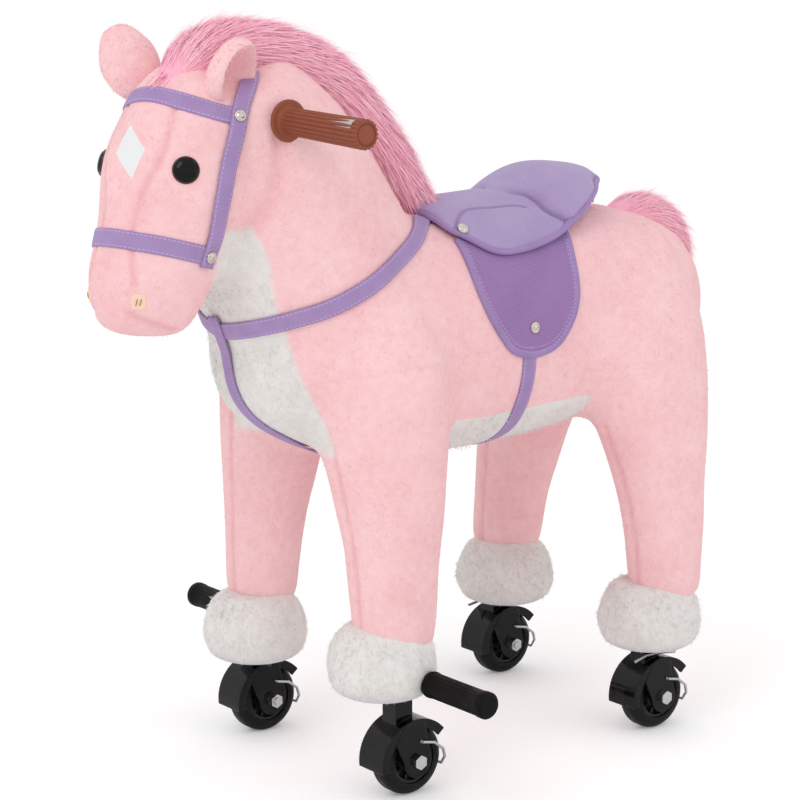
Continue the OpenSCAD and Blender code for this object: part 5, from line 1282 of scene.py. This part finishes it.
sewnOn = clearOf(5 * mm, "girthStrap", "breastStrap", "martingaleStrap", "browStrap", "noseStrap",
                 "cheekStrapLeft", "cheekStrapRight", "saddleSeat", "seatBinding", "saddleFlapLeft",
                 "saddleFlapRight", "flapBindingLeft", "flapBindingRight", "blazePatch", "eyeRims",
                 "nostrilPatches", "chestPanel", "bellyPanel", "hoofRearLeft", "hoofRearRight",
                 "earLeft", "earRight", "handGrips")
napPiece("napBody", bodyPiece, dict(pinkNap, seed=60, count=nap["body"]), pinkPlush, "body", sewnOn,
         lambda p: ((p[:, 2] > 0.40) | (p[:, 1] > 0.0)) & (chestShare(p) < 0.5))
for side, word in sides.items():
    leg, ear = (bpy.data.objects[name] for name in (f"front{word}Leg", "ear" + word))
    coat = napPiece(f"napFront{word}Leg", leg, dict(pinkNap, seed=61 + side, count=nap["leg"]), pinkPlush, None,
                    clearOf(4 * mm, "hoofFront" + word, "plushBody", "footPegs")
                    + clearOf(8 * mm, "martingaleStrap"), lambda p: (p[:, 2] < 0.385) & (torsoField(p) > 1.15))
    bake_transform(coat)
    napPiece("napEar" + word, ear, dict(pinkNap, seed=66 + side, count=nap["ear"]), pinkPlush, "body",
             clearOf(3 * mm, "plushBody"))
    ends = {"Front": ("front_legs", clearOf(2.5 * mm, f"front{word}Leg") + clearOf(4 * mm, "footPegs")),
            "Rear": ("body", clearOf(2.5 * mm, "plushBody"))}
    for end, (body, near) in ends.items():
        low = hoof["places"][f"{end}_{word}".lower()][2] + 6 * mm
        napPiece("napHoof" + end + word, bpy.data.objects["hoof" + end + word],
                 dict(whiteNap, seed=70 + side, count=nap["hoof"]), whitePlush, body, near,
                 lambda p: p[:, 2] > low)
bands = clearOf(5 * mm, "breastStrap", "martingaleStrap", "girthStrap")
bands += clearOf(9 * mm, "frontLeftLeg", "frontRightLeg")
napPiece("napChest", chestPiece, dict(whiteNap, seed=80, count=nap["chest"]), whitePlush, "body",
         bands, lambda p: p[:, 2] > 0.36)
shaggy = dict(whiteNap, seed=81, length=10 * mm, lift=0.7, count=nap["belly"])
napPiece("napBelly", bellyPiece, shaggy, whitePlush, "body", bands)
bpy.data.objects.remove(wholeTarget)
print("nap done")

low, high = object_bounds()

# Floor
floor = {"half": 60.0, "lines": 9, "glow": 0.16}
u, n = np.linspace(-floor["half"], floor["half"], floor["lines"]), floor["lines"]
floorGrid = np.stack([*np.meshgrid(u, u, indexing="ij"), np.zeros((n, n))], -1).reshape(-1, 3)
floorMaterial, tree, shader = newMaterial("paleFloor", {"Roughness": 0.9, "Specular IOR Level": 0.1})
grain = addNode(tree, "TexNoise", {"Vector": addNode(tree, "TexCoord").outputs["Object"], "Scale": 3.0})
tint = addNode(tree, "Mix", {"Factor": grain, "A": "FFFFFF", "B": "FDFDFD"}, data_type="RGBA")
setInputs(tree, shader, {"Base Color": tint})
# the camera alone sees the floor lifted to white; the shadow stays and nothing else is lit by it
ray = addNode(tree, "LightPath").outputs["Is Camera Ray"]
seen = addNode(tree, "Math", {0: ray, 1: floor["glow"]}, operation="MULTIPLY")
setInputs(tree, shader, {"Emission Color": (1, 1, 1, 1), "Emission Strength": seen})
newPiece("floor", meshFrom("floor", floorGrid, gridFaces(n, n)), floorMaterial, outward=False)
